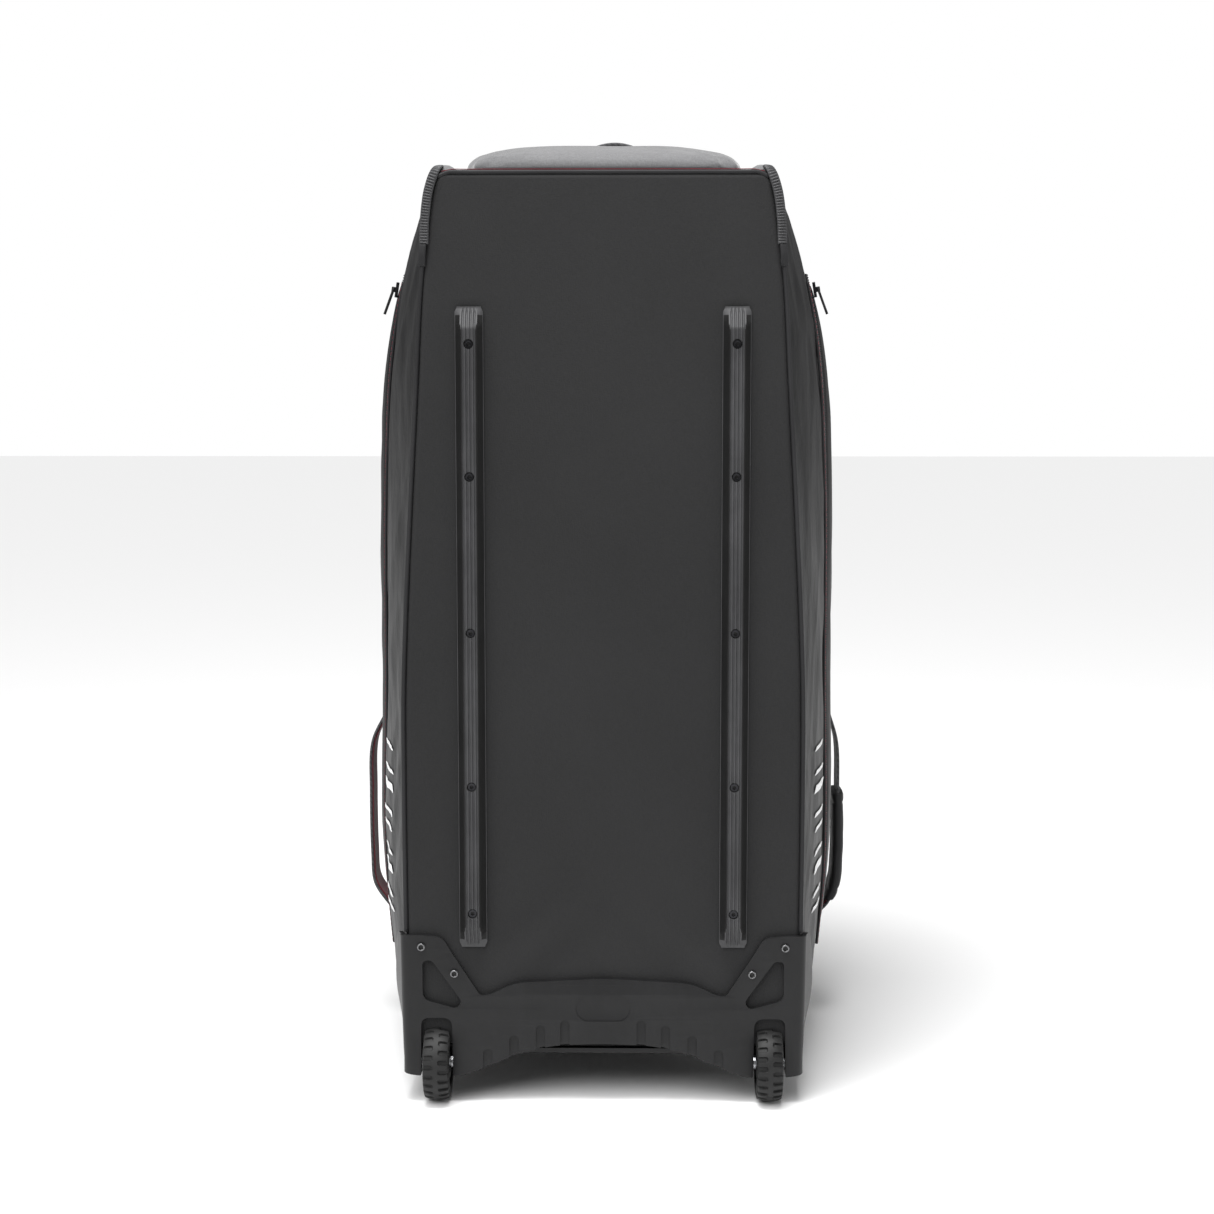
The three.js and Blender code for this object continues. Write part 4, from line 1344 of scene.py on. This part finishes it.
def side_patch(name, side, y, z, wide, tall):
    """A sewn patch that follows the bag's side, with a boxed cross of stitches."""
    def spot(u, v):
        height = z + (v - 0.5) * tall
        s = side_share(y + (u - 0.5) * wide, height)
        edge = min(u * wide, (1 - u) * wide, v * tall, (1 - v) * tall)
        box = 0.5 if 2.0 < edge < 3.2 else 0
        a, b = (u - 0.5) * 2, (v - 0.5) * 2
        cross = 0.5 if edge > 3 and min(abs(a - b), abs(a + b)) < 0.09 else 0
        rise = 3.6 * math.sqrt(clamp((edge + 0.2) / 1.4)) - max(box, cross)
        return mirrored(side_point(s, height, pocket_offset(s, height) + rise), side)

    patch = surface(name, spot, 56, 40, WEB, flip=side < 0)
    modifier(patch, "SOLIDIFY", thickness=1.2 * MM, offset=-1)
    return applied(patch)


def grip_wrap():
    """A padded sleeve round the right strap, hemmed at both ends, with a sewn seam."""
    box_low, box_high = low("grip_wrap"), high("grip_wrap")
    z0, z1 = box_low.z, box_high.z
    y0, wide = (box_low.y + box_high.y) / 2, box_high.y - box_low.y
    path, _ = strap_path("right", 1)
    samples = [path(t) for t in np.linspace(0, 1, 200)]
    line = sorted((p.z, p.x) for p in samples)
    heights, places = [p[0] for p in line], [p[1] for p in line]
    thick, around, rows = 12.5, 56, 80
    points = []
    for i in range(rows + 1):
        v = i / rows
        z = lerp(z0, z1, v)
        x0 = float(np.interp(z, heights, places)) - 0.4
        end = min(v, 1 - v) * (z1 - z0)
        hem = 1 + 0.05 * smooth((10 - end) / 3) - 0.12 * math.exp(-(((end - 11) / 1.6) ** 2))
        hem *= 0.86 + 0.14 * smooth(end / 3)
        for j in range(around):
            a = 2 * math.pi * j / around
            c, s = math.cos(a), math.sin(a)
            size = (abs(c) ** 3 + abs(s) ** 3) ** (-1 / 3)
            seam = 0.7 * math.exp(-(((a - math.pi * 1.5) / 0.05) ** 2)) if a else 0
            ripple = 0.35 * noise.noise(Vector((a * 2, z / 14, 3)))
            points.append((
                x0 + s * size * (thick / 2 * hem - seam) + ripple,
                y0 + c * size * wide / 2 * (0.97 + 0.03 * hem), z,
            ))
    sleeve = outward(mesh_object("grip_sleeve", points, sleeve_faces(around, rows), GRIP))
    place(sleeve, "bag", "webbing", "grip_wrap")


# ---------------------------------------------------------------- pockets, lid and front


POCKET = (0.42, 0.84, low("side_pocket_right").z, high("side_pocket_right").z)


def pocket_offset(s, z):
    """How far the side pocket stands off the side."""
    s0, s1, z0, z1 = POCKET
    if not (s0 < s < s1 and z0 < z < z1):
        return 0.0
    a = min(s - s0, s1 - s) / (s1 - s0)
    b = min(z - z0, z1 - z) / (z1 - z0)
    return 9.5 * (clamp(a * 2) * clamp(b * 5)) ** 0.45


def side_pocket(name, side):
    s0, s1, z0, z1 = POCKET
    rows, columns = 130, 44
    outer, inner = [], []
    for j in range(rows + 1):
        z = lerp(z0, z1, j / rows)
        for i in range(columns + 1):
            s = lerp(s0, s1, i / columns)
            edge = min(i / columns, 1 - i / columns) * 2
            wrinkle = 1.2 * fold(s * SIDE_RUN, z, 0.55, 42, 11 + side) * smooth(edge / 0.3)
            stand = 2.6 + max(0.0, pocket_offset(s, z) * 0.62 + wrinkle * 0.8)
            outer.append(mirrored(side_point(s, z, stand), side))
            inner.append(mirrored(side_point(s, z, 1.2), side))
    points = outer + inner
    wide, base = columns + 1, len(outer)
    faces = grid_faces(columns, rows, flip=side < 0)
    faces += [tuple(base + k for k in face[::-1]) for face in grid_faces(columns, rows, flip=side < 0)]
    for i in range(columns):
        a = rows * wide + i
        faces += [(i, i + 1, base + i + 1, base + i), (a + 1, a, base + a, base + a + 1)]
    for j in range(rows):
        a, b = j * wide, (j + 1) * wide
        c, d = a + columns, b + columns
        faces += [(b, a, base + a, base + b), (c, d, base + d, base + c)]
    pocket = outward(mesh_object("side_pocket_cloth_" + name, points, faces, TARP_SIDE))
    held = {tuple(round(c * MM, 6) for c in p) for p in inner}
    cloth_pad(pocket, 1.5, 1.0, None, 10, lambda p: tuple(round(c * MM, 6) for c in p) in held)
    pocket.data.shade_smooth()
    place(pocket, "bag", "tarpaulin", "side_pocket_" + name)


def front_lid():
    """The big front panel that opens on its left edge."""
    rows, columns = 90, 42
    outer, inner = [], []
    box_low, box_high = low("lid"), high("lid")
    for j in range(rows + 1):
        for i in range(columns + 1):
            u, v = i / columns, j / rows
            x, z = lerp(-LID_HALF + 1, LID_HALF - 1, u), lerp(LID_LOW + 1, LID_HIGH - 1, v)
            edge = min(min(u, 1 - u) * 2 * LID_HALF, min(v, 1 - v) * (LID_HIGH - LID_LOW))
            swell = 8.0 * math.sin(math.pi * u) ** 0.7 * math.sin(math.pi * v) ** 0.4
            wrinkle = 1.5 * fold(x, z, 0.45, 52, 21) * smooth(edge / 40)
            outer.append((x, FRONT_Y + 0.9 + min(8.4, max(0, swell + wrinkle)) * smooth(edge / 14), z))
            inner.append((x, FRONT_Y - 2.6, z))
    wide, base = columns + 1, len(outer)
    faces = [f[::-1] for f in grid_faces(columns, rows)]
    faces += [tuple(base + k for k in f) for f in grid_faces(columns, rows)]
    for i in range(columns):
        a = rows * wide
        faces += [(i + 1, i, base + i, base + i + 1), (a + i, a + i + 1, base + a + i + 1, base + a + i)]
    for j in range(rows):
        a, b = j * wide, (j + 1) * wide
        c, d = a + columns, b + columns
        faces += [(a, b, base + b, base + a), (d, c, base + c, base + d)]
    lid = outward(mesh_object("lid_cloth", outer + inner, faces, TARP))
    cloth_pad(lid, 1.5, 1.5, None, 10, lambda p: p.y < FRONT_Y + 1.4)
    lid.data.shade_smooth()
    place(lid, "lid", "tarpaulin", "lid")
    edge, reach = 4.2, LID_HALF - 8
    line = [(-reach, FRONT_Y, LID_LOW - 2 + edge), (reach, FRONT_Y, LID_LOW - 2 + edge),
            (LID_HALF - 3.2, FRONT_Y, LID_LOW + 6), (LID_HALF - 2.6, FRONT_Y, LID_LOW + 14),
            (LID_HALF - 2.6, FRONT_Y, LID_HIGH - 14), (LID_HALF - 3.2, FRONT_Y, LID_HIGH - 6),
            (reach, FRONT_Y, LID_HIGH + 2 - edge), (-reach, FRONT_Y, LID_HIGH + 2 - edge)]
    path, length = curve_through(line)
    band = zip_band("lid_zip_band", path, length, lambda t: Vector((0, 1, 0)), ZIP_WIDE, 0.6, COIL, 2.5, 1.8)
    place(band, "lid", "zip", "lid_zip")


def front_strip(node_name, name, material, slot_name):
    """A sewn strip of the front, above or below the lid, with slight ripples."""
    box_low, box_high = low(node_name), high(node_name)

    def spot(u, v):
        x, z = lerp(box_low.x, box_high.x, u), lerp(box_low.z, box_high.z, v)
        edge = min(v, 1 - v) * (box_high.z - box_low.z)
        ripple = 0.5 * fold(x, z, 1.2, 30, 31) * smooth(edge / 6)
        return (x, box_high.y - 0.9 + ripple - 1.2 * (1 - smooth(edge / 2.5)), z)

    strip = surface(name, spot, 90, 16, material, flip=True)
    modifier(strip, "SOLIDIFY", thickness=2.2 * MM, offset=-1)
    return place(strip, "bag", slot_name, node_name)


def bottom_cloth():
    """The floor of the bag, out to its sides."""
    level = (low("bottom_panel").z + high("bottom_panel").z) / 2

    def spot(u, v):
        s = lerp(0.015, 0.985, v)
        edge = side_point(s, level, -3.8)
        ripple = 0.4 * noise.noise(Vector((u * 7, v * 9, 4)))
        return (lerp(-edge.x, edge.x, u), edge.y, level + ripple)

    cloth = surface("bottom_cloth", spot, 60, 60, TARP)
    modifier(cloth, "SOLIDIFY", thickness=2.4 * MM, offset=0)
    place(cloth, "bag", "tarpaulin", "bottom_panel")


def printed_dashes(name, side):
    """A generic run of slanted pale dashes where the side is printed."""
    dashes = []
    z = 330.0
    lengths = [3.4, 3.4, 7, 3.4, 3.4, 3.4, 7, 3.4, 3.4]
    for number, tall in enumerate(lengths):
        centre = z - tall / 2
        z -= tall + (11 if number % 2 else 20)

        def spot(u, v, centre=centre, tall=tall):
            height = centre + (v - 0.5) * tall
            y = MID_Y - 98 + (u - 0.5) * 44 + (v - 0.5) * 8
            s = side_share(y, height)
            return mirrored(side_point(s, height, 0.9 + crease(s, height, SIDE_SEEDS[side])), side)

        dash = surface(f"dash_{name}_{number}", spot, 24, 14, INK, flip=side < 0)
        modifier(dash, "SOLIDIFY", thickness=0.5 * MM, offset=1)
        dashes.append(applied(dash))
    return place(joined("side_print_" + name, dashes), "bag", "tarpaulin")


base_plate()
wheel_housings()
for side_name, side_sign in SIDES:
    rail(side_name)
    tyre(side_name)
    haul_strap(side_name, side_sign)
    side_pocket(side_name, side_sign)
    printed_dashes(side_name, side_sign)
    hard_node("hub_" + side_name, HUB, 0.6)
    hard_node("bearing_" + side_name, STEEL, 0.3)
    hard_node("axle_" + side_name, STEEL, 0.3)
    for number in range(1, 6):
        socket_screw(f"rail_screw_{side_name}_{number}", BLACK_STEEL, 1.8)
    for number in (1, 2):
        socket_screw(f"base_screw_{side_name}_{number}", DARK_STEEL, 2.6)
    for kind in ("side", "flap"):
        hard_node(f"{kind}_{side_name}_slider", BLACK_STEEL, 0.4)
        hard_node(f"{kind}_{side_name}_pull", PULL, 0.5)
hard_node("lid_slider", BLACK_STEEL, 0.4)
hard_node("lid_pull", PULL, 0.5)
hard_node("base_tray", BASE, 1.6, 3)
hard_node("back_board", BOARD, 0.5)
grip_wrap()
front_lid()
# The header takes the pale copy of the dark weave: painted light.
front_strip("front_header", "front_header_cloth", TOP_CLOTH_PAINTED_LIGHT, "woven_fabric")
front_strip("front_sill", "front_sill_cloth", TARP, "tarpaulin")
bottom_cloth()

# ---------------------------------------------------------------- studio


def studio():
    floor_material, _, shader = new_material("studio_floor")
    shader.inputs["Base Color"].default_value = (0.9, 0.9, 0.9, 1)
    shader.inputs["Roughness"].default_value = 0.9
    bpy.ops.mesh.primitive_plane_add(size=30, location=(0, 0, -0.0005))
    floor = bpy.context.object
    floor.name = "studio_floor"
    floor.data.materials.append(floor_material)
    world = bpy.data.worlds.new("studio_world")
    bpy.context.scene.world = world
    world.use_nodes = True
    sky = world.node_tree
    background = sky.nodes["Background"]
    background.inputs["Color"].default_value = (1, 1, 1, 1)
    path = sky.nodes.new("ShaderNodeLightPath")
    strength = sky.nodes.new("ShaderNodeMapRange")
    strength.inputs["To Min"].default_value = 0.27
    strength.inputs["To Max"].default_value = 1.0
    sky.links.new(path.outputs["Is Camera Ray"], strength.inputs["Value"])
    sky.links.new(strength.outputs["Result"], background.inputs["Strength"])

    def area_light(name, spot, target, size, power):
        data = bpy.data.lights.new(name, "AREA")
        data.shape = "RECTANGLE"
        data.size, data.size_y = size
        data.energy = power
        made = bpy.data.objects.new(name, data)
        made.location = spot
        made.rotation_euler = (Vector(target) - Vector(spot)).to_track_quat("-Z", "Y").to_euler()
        bpy.context.scene.collection.objects.link(made)

    area_light("top_light", (-0.1, -0.6, 2.5), (0, -0.2, 0.6), (1.2, 0.6), 44)
    area_light("rim_light", (2.1, -0.5, 1.2), (0.15, 0, 0.5), (0.4, 1.6), 7)
    sun_data = bpy.data.lights.new("sun_light", "SUN")
    sun_data.energy = 2.9
    sun_data.angle = math.radians(55)
    sun = bpy.data.objects.new("sun_light", sun_data)
    sun.rotation_euler = Vector((0.42, 0.62, -1.0)).to_track_quat("-Z", "Y").to_euler()
    bpy.context.scene.collection.objects.link(sun)
    camera_data = bpy.data.cameras.new("photo_camera")
    camera = bpy.data.objects.new("photo_camera", camera_data)
    camera_data.sensor_width = 36
    camera_data.lens = 60.97
    camera_data.clip_end = 50
    camera.location = (0.0300, -2.0664 + (MID_Y - 0.5) * MM, 0.6871)
    aim = Vector((0.00118, (MID_Y - 0.5) * MM, 0.4516))
    camera.rotation_euler = (aim - camera.location).to_track_quat("-Z", "Y").to_euler()
    bpy.context.scene.collection.objects.link(camera)
    bpy.context.scene.camera = camera
    bpy.context.scene.view_settings.view_transform = "Standard"


studio()
